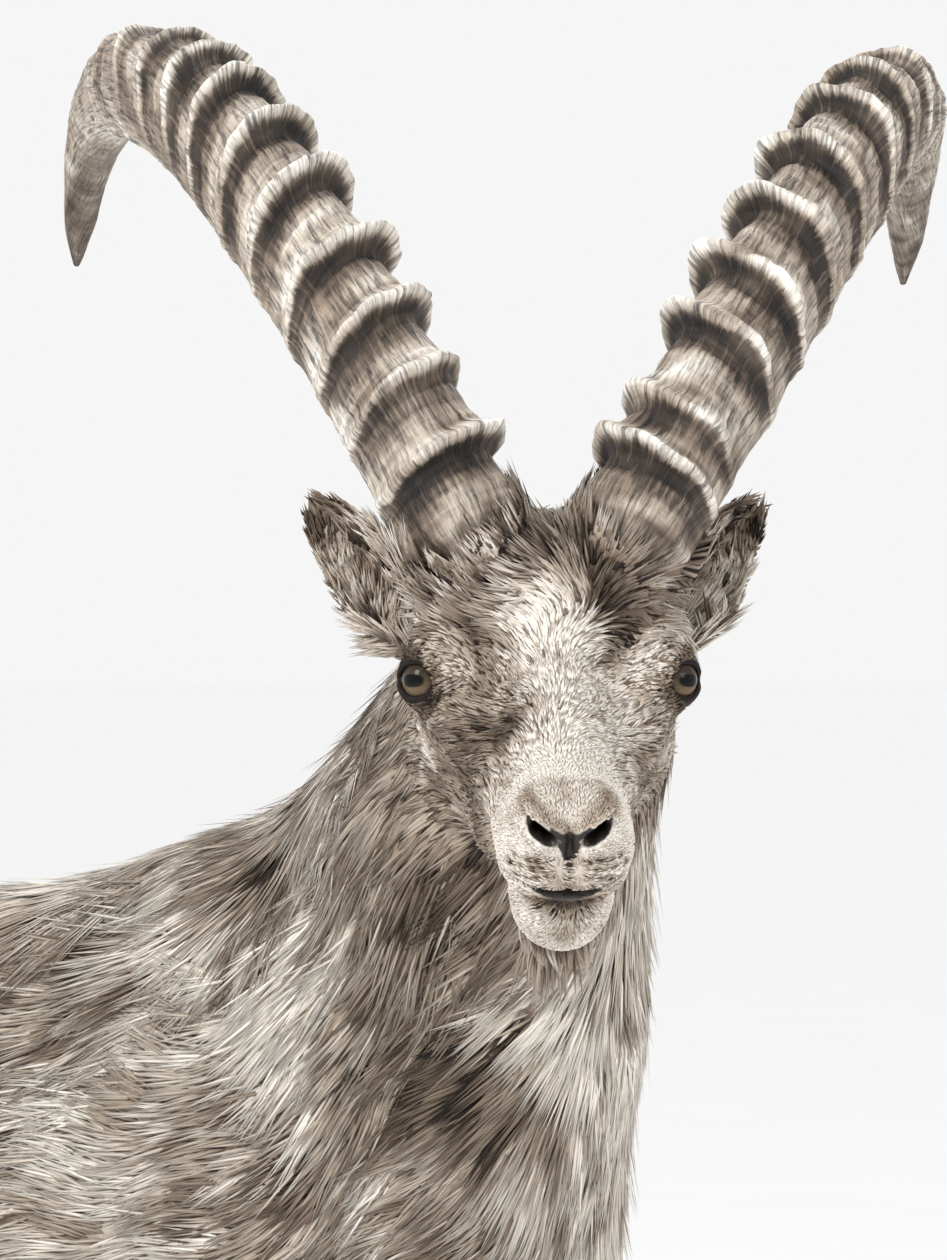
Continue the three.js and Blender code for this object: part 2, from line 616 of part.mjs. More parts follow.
function hornNet(side) {
  const around = 12;
  const length = hornLength(side);
  const ridges = side > 0 ? RIDGES_AT.left : RIDGES_AT.right;
  const curve = new THREE.CatmullRomCurve3(hornLine(side));
  const stops = [-30, 2];
  ridges.forEach((at, k) => stops.push(...(k < 8 ? [-13, -4, 3, 11] : [-10, 0, 10]).map((off) => at + off)));
  stops.push(...[0.8, 0.88, 0.95].map((t) => t * length));
  const rings = stops.filter((s, i) => !i || s > stops[i - 1]).map((s) => {
    const t = clamp01(s / length);
    const tangent = curve.getTangentAt(Math.max(t, 0.002));
    const centre = curve.getPointAt(t).addScaledVector(tangent, Math.min(s, 0));
    const inward = new THREE.Vector3(0, -side, 0);
    const front = new THREE.Vector3(1, 0, 0.9).addScaledVector(inward, 0.25);
    front.addScaledVector(tangent, -front.dot(tangent)).normalize();
    const across = new THREE.Vector3().crossVectors(tangent, front).normalize().multiplyScalar(side);
    const size = hornTaper(t) * rootTaper(s);
    return Array.from({ length: around }, (_, k) => {
      const toFront = Math.cos((2 * Math.PI * k) / around);
      const toOutside = Math.sin((2 * Math.PI * k) / around);
      const flat = 1 / (Math.abs(toFront) ** 2.6 + Math.abs(toOutside) ** 2.6) ** (1 / 2.6);
      const narrow = mix(1, 0.72, smooth(0.1, 1, -toFront));
      const ridge = ridgeHeight(ridges, s) * ridgeShare(toFront, toOutside) * size;
      return centre.clone()
        .addScaledVector(front, (HORN_HALF_DEPTH * size * flat + ridge) * toFront)
        .addScaledVector(across, (HORN_HALF_WIDTH * size * flat * narrow + ridge) * toOutside)
        .addScaledVector(tangent, -ringSlant(s, length, toFront, toOutside));
    });
  });
  const tangent = curve.getTangentAt(0);
  return closedRings(rings, curve.getPointAt(0).addScaledVector(tangent, -36), curve.getPointAt(1));
}

// Neck
const NECK_AXIS = [[85, 0, 735], [150, -14, 850], fromEyes(-100, 0, -18)];
const neckNet = wrap(neckField, NECK_AXIS, { rings: 9, around: 18, caps: 2 });

// Hair on the neck falls down and back, away from the face.
function neckLie(root) {
  const away = new THREE.Vector3(root.x, root.y, 0).sub(new THREE.Vector3(230, -80, 0));
  return new THREE.Vector3(0.004 * away.x, 0.004 * away.y, -1);
}
const neckLocks = coatLocks(neckField, {
  axis: [[128, -6, 785], [172, -28, 890], fromEyes(-100, 0, -24)],
  rows: 7, columns: 8, angles: [0, 2 * Math.PI], lieAt: neckLie, seed: 5,
  size: { length: 118, width: 40, thickness: 10, lift: 0.06 },
});

// The trunk's coat lies close, but a low crest stands along the withers and a fringe hangs under the belly.
const trunkLie = () => new THREE.Vector3(-1, 0, -0.35);
const crestLocks = coatLocks(trunkField, {
  axis: [[-380, 0, 700], [-60, 0, 700]], rows: 6, columns: 2, angles: [1.15, 2], lieAt: trunkLie, seed: 8,
  size: { length: 112, width: 44, thickness: 9, lift: 0.05 },
});
const bellyLocks = coatLocks(trunkField, {
  axis: [[-500, 0, 640], [60, 0, 620]], rows: 6, columns: 2, angles: [-2.1, -1.04], lieAt: trunkLie, seed: 9,
  size: { length: 92, width: 38, thickness: 9, lift: 0.06, sag: 0.06 },
});

const tailNet = wrap(tailField, [[-808, 0, 806], [-852, 0, 786], [-884, 0, 738], [-896, 0, 705]],
  { rings: 7, around: 10, caps: 2, reference: [1, 0, 0] });

function tailLocks() {
  const random = randomSource(31);
  return Array.from({ length: 5 }, (_, i) => {
    const angle = (2 * Math.PI * i) / 5 + 0.3 * random();
    const normal = new THREE.Vector3(-Math.abs(Math.cos(angle)) * 0.8 - 0.2, Math.sin(angle), 0).normalize();
    const root = surfaceFrom(tailField, new THREE.Vector3(-884, 0, 740 + 20 * (i % 2)), normal);
    return solidOf(lock({
      root,
      normal,
      lie: new THREE.Vector3(-0.1, 0, -1),
      length: 82 + 20 * random(),
      width: 24,
      thickness: 9,
      lift: 0.02,
    }));
  });
}

// The named meshes
const ibex = new THREE.Group();
const headGroup = new THREE.Group();
headGroup.rotation.set(0, HEAD_PITCH, HEAD_YAW, 'ZYX');
headGroup.position.copy(HEAD_AT);
ibex.add(headGroup);

function addMesh(parent, name, solid, colour, roughness = 0.85) {
  const material = new THREE.MeshStandardMaterial({ color: colour, roughness, metalness: 0 });
  const mesh = new THREE.Mesh(geometryOf(solid), material);
  mesh.name = name;
  parent.add(mesh);
}

const hornInHead = (side) => hornNet(side).applyMatrix4(headLevel);
const headParts = { head: headSolid() };
for (const [name, side] of Object.entries(SIDES)) {
  headParts[`horn_${name}`] = largest(solidOf(hornInHead(side)).subtract(clearance(headNet)));
  headParts[`ear_${name}`] = largest(solidOf(earNet(side))
    .subtract(clearance(headNet))
    .subtract(solidOf(grown(hornInHead(side), GAP))));
  headParts[`eye_${name}`] = solidOf(eyeNet(side));
  headParts.head = headParts.head.subtract(solidOf(grown(hornInHead(side), GAP)).subtract(solidOf(headNet)));
}
headParts.head = largest(headParts.head);

// The neck keeps clear of the trunk and of all that the head carries.
const clearInBody = (net, by) => solidOf(grown(net, by).applyMatrix4(headPlace));
const trunkCut = clearance(trunkNet);
let neck = join(solidOf(neckNet), ...neckLocks).subtract(trunkCut).subtract(clearInBody(headNet, GAP));
for (const side of Object.values(SIDES)) {
  neck = neck.subtract(clearInBody(earNet(side), 1)).subtract(clearInBody(hornInHead(side), 1));
}

const legNets = Object.values(LEG_PAIRS).flatMap(({ net }) => [net(SIDES.left), net(SIDES.right)]);
const trunk = join(solidOf(trunkNet), ...legNets.map(solidOf));
const legSolids = {};
let torso = trunk.add(join(...crestLocks, ...bellyLocks).subtract(clearance(neckNet)));
for (const [name, pair] of Object.entries(LEG_PAIRS)) {
  let leg = floorCut(trunk.intersect(legSpace(pair, SIDES.right)));
  for (const [which, toe] of [['outer', -1], ['inner', 1]]) {
    const net = toeNet(pair.footX, toe);
    const hoof = floorCut(solidOf(net));
    leg = leg.subtract(clearance(net));
    addMesh(ibex, `${name.replace('leg', 'hoof')}_right_${which}`, hoof, COLOURS.hoof, 0.5);
    addMesh(ibex, `${name.replace('leg', 'hoof')}_left_${which}`, hoof.mirror([0, 1, 0]), COLOURS.hoof, 0.5);
  }
  for (const side of Object.values(SIDES)) torso = torso.subtract(legSpace(pair, side, GAP));
  legSolids[`${name}_right`] = largest(leg);
  legSolids[`${name}_left`] = largest(leg).mirror([0, 1, 0]);
}
const tail = join(solidOf(tailNet), ...tailLocks());

addMesh(ibex, 'torso', largest(torso), COLOURS.coat);
addMesh(ibex, 'neck', largest(neck), COLOURS.coat);
addMesh(ibex, 'tail', largest(tail.subtract(trunkCut)), COLOURS.tail);
for (const [name, solid] of Object.entries(legSolids)) addMesh(ibex, name, solid, COLOURS.leg);
for (const [name, solid] of Object.entries(headParts)) {
  const kind = name.split('_')[0];
  addMesh(headGroup, name, solid, COLOURS[kind] ?? COLOURS.face, kind === 'eye' ? 0.1 : 0.8);
}

// The origin goes to the middle of the footprint, on the floor.
ibex.updateMatrixWorld(true);
const bounds = new THREE.Box3().setFromObject(ibex, true);
ibex.position.set(-(bounds.min.x + bounds.max.x) / 2, -(bounds.min.y + bounds.max.y) / 2, 0);

export default ibex;
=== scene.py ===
"""A life-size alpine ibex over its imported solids: one skin, a coat of solid tufts, eyes, horns and hooves.

Shapes are worked out in millimetres in the animal's own frame: +X from rump to chest, +Y to its left, +Z up,
with the floor at zero. They are moved into the model's frame, in metres, when a mesh is made.
"""

import math

import bpy
import numpy as np
import openvdb
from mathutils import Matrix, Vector, kdtree


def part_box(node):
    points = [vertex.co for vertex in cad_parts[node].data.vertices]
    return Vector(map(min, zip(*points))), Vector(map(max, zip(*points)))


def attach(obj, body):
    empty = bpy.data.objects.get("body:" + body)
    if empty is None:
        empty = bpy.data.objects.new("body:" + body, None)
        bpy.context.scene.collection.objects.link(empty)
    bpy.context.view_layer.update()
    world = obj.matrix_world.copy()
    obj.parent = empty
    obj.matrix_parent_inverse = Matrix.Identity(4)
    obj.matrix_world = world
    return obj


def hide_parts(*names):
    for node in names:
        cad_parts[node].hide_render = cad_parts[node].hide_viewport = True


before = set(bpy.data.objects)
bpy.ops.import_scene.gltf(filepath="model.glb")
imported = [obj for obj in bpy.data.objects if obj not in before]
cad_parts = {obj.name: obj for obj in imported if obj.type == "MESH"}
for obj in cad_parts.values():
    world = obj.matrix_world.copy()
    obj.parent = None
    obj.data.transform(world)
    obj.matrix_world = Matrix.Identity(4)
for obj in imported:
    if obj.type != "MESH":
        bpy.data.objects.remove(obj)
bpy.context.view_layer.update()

# Sizes shared with the solids, in millimetres, and angles in radians
HEAD_AT = np.array([286.0, -165.0, 1020.0])
HEAD_YAW = math.radians(-61.5)
HEAD_PITCH = math.radians(30)
EYE_RADIUS = 17.0
EYE_SPREAD = 72.0
EYE_TURN = math.radians(43)
EYE_LIFT = math.radians(20)
LID_OPENING = (14.6, 11.6)
EAR_LENGTH = 124.0
HORN_LENGTH = {1: 820.0, -1: 844.0}
HORN_HALF_WIDTH = 35.0
HORN_HALF_DEPTH = 43.0
HORN_BASE = 41.0
RIDGE = dict(height=10.5, above=5.2, below=4.8)
RIDGES_AT = {
    1: [34, 67, 126, 173, 226, 285, 350, 408, 470, 532, 590],
    -1: [39, 88, 134, 184, 243, 297, 353, 402, 456, 514, 572],
}
RIDGE_SIZES = [1, 0.6, 1, 1, 1, 1, 1, 0.9, 0.7, 0.5, 0.35]
FORE_FOOT_X = 62.0
HIND_FOOT_X = -690.0
FOOT_SPREAD = 84.0
TOE_SPREAD = 15.0
SIDES = {"left": 1, "right": -1}
REGIONS = TRUNK, NECK, LEG, TAIL, HEAD = range(5)

# How deep the coat lies over the skin, and how thick the lids lie over the eyeball
COAT_DEPTH = dict(trunk=13.0, neck=7.0, leg=5.0, tail=9.0)
LID_THICKNESS = 2.0

# The picture's frame: a level view at the eyes' height
PHOTO_SIZE = (947, 1260)
PHOTO_EYES_AT = (549.5, 679.0)
MM_PER_PIXEL = 0.6
CAMERA_AZIMUTH = math.radians(25)
CAMERA_DISTANCE = 3.0


def eyes_middle():
    corners = [np.array(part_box(f"eye_{side}")) for side in SIDES]
    return np.mean([box.mean(axis=0) for box in corners], axis=0)


SHIFT = eyes_middle() - HEAD_AT / 1000


NOT_NEAR = 1e3  # a distance larger than any that matters


def to_model(points):
    return np.asarray(points) / 1000 + SHIFT


def mix(a, b, t):
    return a + (b - a) * t


def smooth(low, high, x):
    t = np.clip((np.asarray(x, float) - low) / (high - low), 0, 1)
    return t * t * (3 - 2 * t)


def bump(x, middle, width):
    return np.exp(-(((x - middle) / width) ** 2))


def unit(v):
    return v / np.maximum(np.linalg.norm(v, axis=-1, keepdims=True), 1e-9)


def circle(count):
    """Angles spread evenly round a full turn."""
    return np.linspace(0, 2 * math.pi, count, endpoint=False)


def across_normals(v, normals):
    """The part of each vector that lies in the surface."""
    return v - normals * np.einsum("ij,ij->i", v, normals)[:, None]


def read_between(at, stops, rows):
    """Rows of numbers given at some stops, read off at places in between."""
    return np.stack([np.interp(at, stops, column) for column in rows.T], axis=-1)


def turn_z(angle):
    c, s = math.cos(angle), math.sin(angle)
    return np.array([[c, -s, 0], [s, c, 0], [0, 0, 1.0]])


def turn_y(angle):
    c, s = math.cos(angle), math.sin(angle)
    return np.array([[c, 0, s], [0, 1.0, 0], [-s, 0, c]])


HEAD_LEVEL = turn_z(HEAD_YAW)
HEAD_TURN = HEAD_LEVEL @ turn_y(HEAD_PITCH)


def into_head(points):
    """The same points in the head's frame: +X along the face to the nose, +Y left, +Z up."""
    return (points - HEAD_AT) @ HEAD_TURN


def out_of_head(points):
    return points @ HEAD_TURN.T + HEAD_AT


def out_of_level_head(points):
    return points @ HEAD_LEVEL.T + HEAD_AT


# Masses of flesh: each is a function of points, negative inside and about the distance outside.
def blob(centre, radii, tilt=0.0):
    centre = np.array(centre, float)
    rx, ry, rz = radii
    c, s = math.cos(tilt), math.sin(tilt)

    def field(p):
        d = p - centre
        x = (c * d[:, 0] - s * d[:, 2]) / rx
        y = d[:, 1] / ry
        z = (s * d[:, 0] + c * d[:, 2]) / rz
        near = np.sqrt(x * x + y * y + z * z)
        slope = np.sqrt((x / rx) ** 2 + (y / ry) ** 2 + (z / rz) ** 2)
        return near * (near - 1) / np.maximum(slope, 1e-9)

    return field


def limb(start, end, start_radius, end_radius):
    a = np.array(start, float)
    along = np.array(end, float) - a
    span = along @ along

    def field(p):
        offset = p - a
        t = np.clip(offset @ along / span, 0, 1)
        return np.linalg.norm(offset - t[:, None] * along, axis=1) - mix(start_radius, end_radius, t)

    return field


def chain(*joints):
    parts = [limb(k[:3], j[:3], k[3], j[3]) for k, j in zip(joints, joints[1:])]
    return lambda p: np.minimum.reduce([part(p) for part in parts])


def soft_min(a, b, width):
    h = np.maximum(width - np.abs(a - b), 0) / width
    return np.minimum(a, b) - h * h * width * 0.25


def blend(width, *fields):
    def field(p):
        total = fields[0](p)
        for part in fields[1:]:
            total = soft_min(total, part(p), width)
        return total

    return field


def both_sides(field):
    return lambda p: field(np.column_stack([p[:, 0], np.abs(p[:, 1]), p[:, 2]]))


def from_eyes(forward, left, up):
    return list(HEAD_AT + HEAD_LEVEL @ np.array([forward, left, up], float))


trunk_field = blend(
    60,
    blob([-170, 0, 672], [320, 142, 184]),
    blob([-5, 0, 722], [165, 106, 176]),
    blob([-36, 0, 808], [120, 50, 94]),
    blob([118, 0, 640], [116, 104, 142]),
    blob([-10, 0, 545], [170, 72, 70]),
    blob([-400, 0, 660], [250, 146, 162]),
    limb([-150, 0, 808], [-610, 0, 797], 66, 80),
    blob([-675, 0, 745], [150, 112, 130]),
    both_sides(blob([-640, 72, 672], [128, 72, 168], 0.2)),
    both_sides(blob([30, 82, 690], [92, 54, 160], -0.3)),
)
foreleg_field = both_sides(blend(
    20,
    blob([60, 88, 650], [74, 44, 112], -0.4),
    chain([20, 94, 570, 58], [12, 96, 510, 50], [28, 88, 335, 31]),
    blob([-34, 92, 582], [28, 24, 36]),
    blob([33, 86, 302], [32, 29, 40]),
    chain([29, 86, 270, 23], [29, 84, 140, 22]),
    blob([28, 84, 112], [30, 28, 28]),
    chain([34, 84, 98, 24], [FORE_FOOT_X - 12, 84, 52, 26]),
))
hindleg_field = both_sides(blend(
    26,
    blob([-640, 84, 640], [122, 60, 150], 0.25),
    blob([-560, 98, 575], [62, 48, 70]),
    chain([-580, 94, 560, 72], [-662, 86, 465, 50], [-722, 82, 395, 33]),
    chain([-778, 82, 386, 16], [-706, 85, 520, 34]),
    blob([-746, 82, 352], [34, 27, 42], 0.3),
    chain([-748, 82, 320, 26], [-732, 82, 145, 23]),
    blob([-731, 82, 114], [31, 29, 29]),
    chain([-724, 83, 98, 25], [HIND_FOOT_X - 12, 84, 52, 26]),
))
tail_field = chain([-800, 0, 806, 30], [-850, 0, 790, 25], [-888, 0, 735, 19], [-900, 0, 690, 8])
neck_field = blend(
    80,
    chain([16, 0, 850, 58], [108, -26, 912, 58], [*from_eyes(-112, 0, 8), 52]),
    chain([150, 0, 650, 92], [200, -36, 800, 90], [*from_eyes(-82, 4, -66), 62]),
    chain([70, 0, 750, 92], [*from_eyes(-100, 0, -20), 60]),
)
head_masses = blend(
    22,
    blob([-62, 0, 14], [72, 68, 54]),
    blob([-36, 0, 42], [54, 58, 42]),
    both_sides(limb([-50, 38, 42], [-51, 51, 60], 40, 42)),
    limb([-5, 0, 16], [142, 0, -11], 29, 20),
    both_sides(limb([-6, 32, -26], [118, 15.5, -26], 38, 21)),
    blob([138, 0, -20], [42, 32.5, 32]),
    both_sides(blob([154, 15.5, -27], [25, 17.5, 17])),
    both_sides(blob([157, 16, 2], [18, 11.5, 13])),
    both_sides(limb([-50, 42, -66], [60, 24, -66], 30, 23)),
    limb([60, 0, -66], [134, 0, -66], 24, 23),
    blob([143, 0, -66], [27, 25.5, 27]),
    both_sides(blob([-26, 52, -38], [50, 26, 42])),
    both_sides(limb([36, 50, -20], [-48, 66, -6], 15, 14)),
    both_sides(blob([-8, 64, 13], [33, 22, 24])),
    blob([-108, 0, -8], [42, 54, 50]),
)
# A nostril is a curved slit from the top outer edge of the nose towards its middle, and it runs back inside.
nostril_field = both_sides(blend(
    4,
    limb([170, 23.5, 7.5], [178, 16.5, 2], 1.6, 2.5),
    limb([178, 16.5, 2], [182, 6.5, -4], 2.4, 1.1),
    limb([174, 19, 3.5], [154, 16, 1], 3.0, 4.6),
    limb([179, 12, -1], [160, 12, -1], 2.6, 4.2),
))


def nose_fold(side, z):
    """How far points lie, seen from the front, from the fold that runs over each nostril to the middle."""
    return limb([172, 24, 13], [172, 3, -0.5], 0, 0)(np.column_stack([np.full(len(z), 172.0), side, z]))


def mouth_height(side):
    return mix(-37, -31, smooth(0, 36, side))


def eye_frame(side):
    """The eye's middle, its line of sight, its level axis and its up axis, in the head's frame."""
    middle = np.array([0, EYE_SPREAD * side, 0.0])
    turn, lift = EYE_TURN * side, EYE_LIFT
    look = np.array([math.cos(turn) * math.cos(lift), math.sin(turn) * math.cos(lift), math.sin(lift)])
    level_up = turn_y(-HEAD_PITCH) @ np.array([0, 0, 1.0])
    up = unit(level_up - look * (level_up @ look))
    return middle, look, np.cross(up, look), up


def lid_fields(q):
    """The bulge of the lids over the eyeballs, and the openings between them."""
    bulge = np.full(len(q), NOT_NEAR)
    opening = np.full(len(q), NOT_NEAR)
    for side in SIDES.values():
        middle, look, level, up = eye_frame(side)
        d = q - middle
        bulge = np.minimum(bulge, np.linalg.norm(d, axis=1) - EYE_RADIUS - LID_THICKNESS)
        across, high, out = d @ level, d @ up, d @ look
        almond = (np.hypot(across / LID_OPENING[0], high / LID_OPENING[1]) - 1) * LID_OPENING[1]
        opening = np.minimum(opening, np.maximum(almond, 4 - out))
    return bulge, opening


def head_depth(q):
    """The coat's depth on the head: next to none on the muzzle and lids, more on the cheeks and crown."""
    depth = mix(4.0, 1.0, smooth(-10, 90, q[:, 0]))
    for side in SIDES.values():
        depth = depth * (1 - 0.7 * bump(np.linalg.norm(q - [0, EYE_SPREAD * side, 0], axis=1), 0, 34))
    return depth


def head_field(q):
    x, y, z = q.T
    side = np.abs(y)
    value = head_masses(q) + head_depth(q)
    # The slit of the mouth between its lips, and the hollow before each eye
    at_mouth = z - mouth_height(side)
    lips = 1.6 * bump(at_mouth, 6.5, 4) + 2.0 * bump(at_mouth, -6, 4)
    value += smooth(100, 116, x) * (5.0 * bump(at_mouth, 0, 2.4) - lips)
    value += 5 * bump(x, 44, 24) * bump(side, 46, 15) * bump(z, 2, 14)
    # The groove below the nose
    value += 2.2 * bump(y, 0, 2.4) * smooth(160, 172, x) * smooth(-38, -30, z) * smooth(2, -4, z)
    # The fold that runs over each nostril and meets its twin in the middle
    fold = nose_fold(side, z)
    value -= 1.3 * bump(fold, 0, 2.6) * smooth(150, 162, x)
    value += 1.3 * bump(fold, 6.2, 1.8) * smooth(150, 162, x) * smooth(0, 4, z)
    # The folds over and under the eye, the lids and the opening between them
    bulge, opening = lid_fields(q)
    folds = bump(bulge, 5.0, 1.8) + 0.7 * bump(bulge, 10.5, 2.2)
    value += smooth(50, 60, side) * 1.8 * folds * bump(x, 4, 26)
    value = np.maximum(soft_min(value, bulge, 7), -opening)
    # The nostrils and the raised edge round them
    nostrils = nostril_field(q)
    value -= 1.6 * bump(nostrils, 3.6, 2.6) * smooth(150, 165, x)
    return -soft_min(-value, nostrils, 3)


def body_field(p):
    """The whole skin, under the coat."""
    trunk = trunk_field(p) + COAT_DEPTH["trunk"]
    legs = np.minimum(foreleg_field(p), hindleg_field(p)) + mix(
        COAT_DEPTH["leg"], COAT_DEPTH["trunk"], smooth(480, 620, p[:, 2]))
    value = soft_min(trunk, legs, 30)
    value = soft_min(value, tail_field(p) + COAT_DEPTH["tail"], 20)
    value = soft_min(value, neck_field(p) + COAT_DEPTH["neck"], 70)
    near_head = np.linalg.norm(p - out_of_head(np.array([[30, 0, -20.0]])), axis=1) < 330
    if near_head.any():
        value[near_head] = soft_min(value[near_head], head_field(into_head(p[near_head])), 26)
    return value


def slope_of(field, points, step=1.5):
    """Unit normals of a field at some points."""
    shifts = np.eye(3) * step
    return unit(np.column_stack([field(points + s) - field(points - s) for s in shifts]))


# Making closed meshes out of fields
GRID_GROWTH = 1.12  # from one step to the next, outside the fine stretch
GRID_FAR = 50.0  # the value of the grid where the surface can't pass
GRID_BLOCK = 8  # points along each edge of a block
BLOCK_MARGIN = 8.0  # added to half the size of a block, in millimetres
BLOCK_REACH = 1.6  # how many times faster than a distance a field may grow
BLOCKS_AT_ONCE = 400


def grid_lines(low, high, fine_low, fine_high, fine, coarse):
    """Grid positions that are close together in one stretch and widen smoothly outside it."""
    lines = [fine_low]
    while lines[-1] < fine_high:
        lines.append(lines[-1] + fine)
    step = fine
    while lines[-1] < high:
        step = min(step * GRID_GROWTH, coarse)
        lines.append(lines[-1] + step)
    step = fine
    while lines[0] > low:
        step = min(step * GRID_GROWTH, coarse)
        lines.insert(0, lines[0] - step)
    return np.array(lines)


def grid_points(lines):
    return np.stack(np.meshgrid(*lines, indexing="ij"), axis=-1).reshape(-1, 3)


def sample_grid(field, lines):
    """Field values on a grid, worked out only in the blocks that the surface may pass through."""
    short = [-len(line) % GRID_BLOCK for line in lines]
    lines = [np.append(line, line[-1] + np.arange(1, 1 + more) * 5.0) for line, more in zip(lines, short)]
    rows = [line.reshape(-1, GRID_BLOCK) for line in lines]
    counts = [len(row) for row in rows]
    reach = np.linalg.norm(grid_points([(row[:, -1] - row[:, 0]) / 2 + BLOCK_MARGIN for row in rows]), axis=1)
    rough = field(grid_points([row.mean(axis=1) for row in rows]))
    values = np.empty([len(line) for line in lines], np.float32)
    blocks = values.reshape([size for count in counts for size in (count, GRID_BLOCK)])
    blocks[:] = (np.sign(rough) * GRID_FAR).reshape([size for count in counts for size in (count, 1)])
    near = np.flatnonzero(np.abs(rough) < BLOCK_REACH * reach)
    for some in np.array_split(near, max(1, len(near) // BLOCKS_AT_ONCE)):
        i, j, k = np.unravel_index(some, counts)
        x, y, z = rows[0][i][:, :, None, None], rows[1][j][:, None, :, None], rows[2][k][:, None, None, :]
        points = np.stack(np.broadcast_arrays(x, y, z), axis=-1)
        blocks[i, :, j, :, k, :] = field(points.reshape(-1, 3)).reshape(points.shape[:-1])
    return values, lines


def face_out(points, faces):
    """The faces of a closed mesh, turned over if they look in."""
    corners = points[faces]
    volume = np.einsum("ij,ij->i", corners[:, 0], np.cross(corners[:, 1], corners[:, 2])).sum()
    return faces[:, ::-1] if volume < 0 else faces


def surface_mesh(field, lines):
    """The field's surface as points and faces of four corners, with the faces looking out."""
    values, lines = sample_grid(field, lines)
    grid = openvdb.FloatGrid()
    grid.background = GRID_FAR
    grid.copyFromArray(values)
    points, quads = grid.convertToQuads(0.0)
    place = np.column_stack([np.interp(points[:, k], np.arange(len(lines[k])), lines[k]) for k in range(3)])
    return place, face_out(place, quads.astype(np.int64))


def loft(rings, first=None, last=None):
    """Closed faces of three corners over rings of equal count, each end closed by one point."""
    rings = np.asarray(rings)
    count, around = rings.shape[:2]
    first = rings[0].mean(axis=0) if first is None else first
    last = rings[-1].mean(axis=0) if last is None else last
    points = np.vstack([[first], rings.reshape(-1, 3), [last]])
    k = np.arange(around)
    turn = (k + 1) % around
    end = 1 + (count - 1) * around
    faces = [np.column_stack([np.zeros(around, int), 1 + turn, 1 + k])]
    for r in range(count - 1):
        a, b = 1 + r * around + k, 1 + r * around + turn
        faces += [np.column_stack([a, b, b + around]), np.column_stack([a, b + around, a + around])]
    faces.append(np.column_stack([np.full(around, len(points) - 1), end + k, end + turn]))
    return points, face_out(points, np.vstack(faces))


def new_object(name, data):
    made = bpy.data.objects.new(name, data)
    bpy.context.scene.collection.objects.link(made)
    return made


def make_mesh(name, points, faces, material, colours=None, maps=None, vectors=None, amounts=None):
    """A smooth-shaded object from points in millimetres, with maps, vectors and amounts given per point."""
    mesh = bpy.data.meshes.new(name)
    sides = faces.shape[1]
    mesh.vertices.add(len(points))
    mesh.vertices.foreach_set("co", to_model(points).astype(np.float32).ravel())
    mesh.loops.add(faces.size)
    mesh.loops.foreach_set("vertex_index", faces.astype(np.int32).ravel())
    mesh.polygons.add(len(faces))
    mesh.polygons.foreach_set("loop_start", np.arange(0, faces.size, sides, dtype=np.int32))
    mesh.polygons.foreach_set("use_smooth", np.ones(len(faces), bool))
    mesh.materials.append(material)
    mesh.update(calc_edges=True)
    if colours is not None:
        layer = mesh.color_attributes.new("Coat", "FLOAT_COLOR", "POINT")
        opaque = np.column_stack([colours, np.ones(len(points))])
        layer.data.foreach_set("color", opaque.astype(np.float32).ravel())
    for given, kind, holder in ((vectors, "FLOAT_VECTOR", "vector"), (amounts, "FLOAT", "value")):
        for label, values in (given or {}).items():
            layer = mesh.attributes.new(label, kind, "POINT")
            layer.data.foreach_set(holder, np.asarray(values, np.float32).ravel())
    for label, values in (maps or {}).items():
        layer = mesh.uv_layers.new(name=label)
        layer.uv.foreach_set("vector", values[faces.ravel()].astype(np.float32).ravel())
    return new_object(name, mesh)


def place_piece(piece, slot, *nodes):
    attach(piece, "root")
    if nodes:
        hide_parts(*nodes)


# Coat colours: a ramp from near black to near white by tone, from 0 to 1
TONE_STOPS = np.array([0.0, 0.22, 0.45, 0.7, 1.0])
TONE_COLOURS = np.array([
    [0.018, 0.014, 0.012],
    [0.070, 0.050, 0.037],
    [0.190, 0.142, 0.104],
    [0.400, 0.335, 0.265],
    [0.760, 0.710, 0.640],
])


def ramp(tone):
    return read_between(np.clip(tone, 0, 1), TONE_STOPS, TONE_COLOURS)


def waves(points, length, seed):
    """Smooth values around zero, up to about 1 each way, that vary over the given length."""
    random = np.random.default_rng(seed)
    directions = unit(random.normal(size=(8, 3)))
    directions = directions * random.uniform(0.6, 1.6, (8, 1)) * 2 * math.pi / length
    return np.sin(points @ directions.T + random.uniform(0, 2 * math.pi, 8)).sum(axis=1) / 2.6


def region_weights(p):
    """How much each point belongs to the trunk, neck, legs, tail and head."""
    nearness = np.column_stack([
        trunk_field(p) + COAT_DEPTH["trunk"],
        neck_field(p) + COAT_DEPTH["neck"],
        np.minimum(foreleg_field(p), hindleg_field(p)) + COAT_DEPTH["leg"] + 60 * smooth(470, 540, p[:, 2]),
        tail_field(p) + COAT_DEPTH["tail"],
        head_masses(into_head(p)) + 2,
    ])
    weights = np.exp(-np.maximum(nearness - nearness.min(axis=1, keepdims=True), 0) / 9)
    return weights / weights.sum(axis=1, keepdims=True)


def over_regions(weights, *values):
    """Values for trunk, neck, legs, tail and head, mixed by how much each point belongs to them."""
    return sum(weights[:, k] * value for k, value in zip(REGIONS, values))


def whisker_spots(q):
    """The dark roots of the whiskers: staggered rows of dots on both sides of the upper lip."""
    x, y, z = q.T
    dark = np.zeros(len(q))
    for row in range(4):
        for number in range(4):
            at = 9.5 + 6.2 * number + 3.1 * (row % 2)
            dark = np.maximum(dark, bump(np.hypot(np.abs(y) - at, z + 12.5 + 5.2 * row + 0.12 * at), 0, 1.8))
    return dark * smooth(135, 150, x)


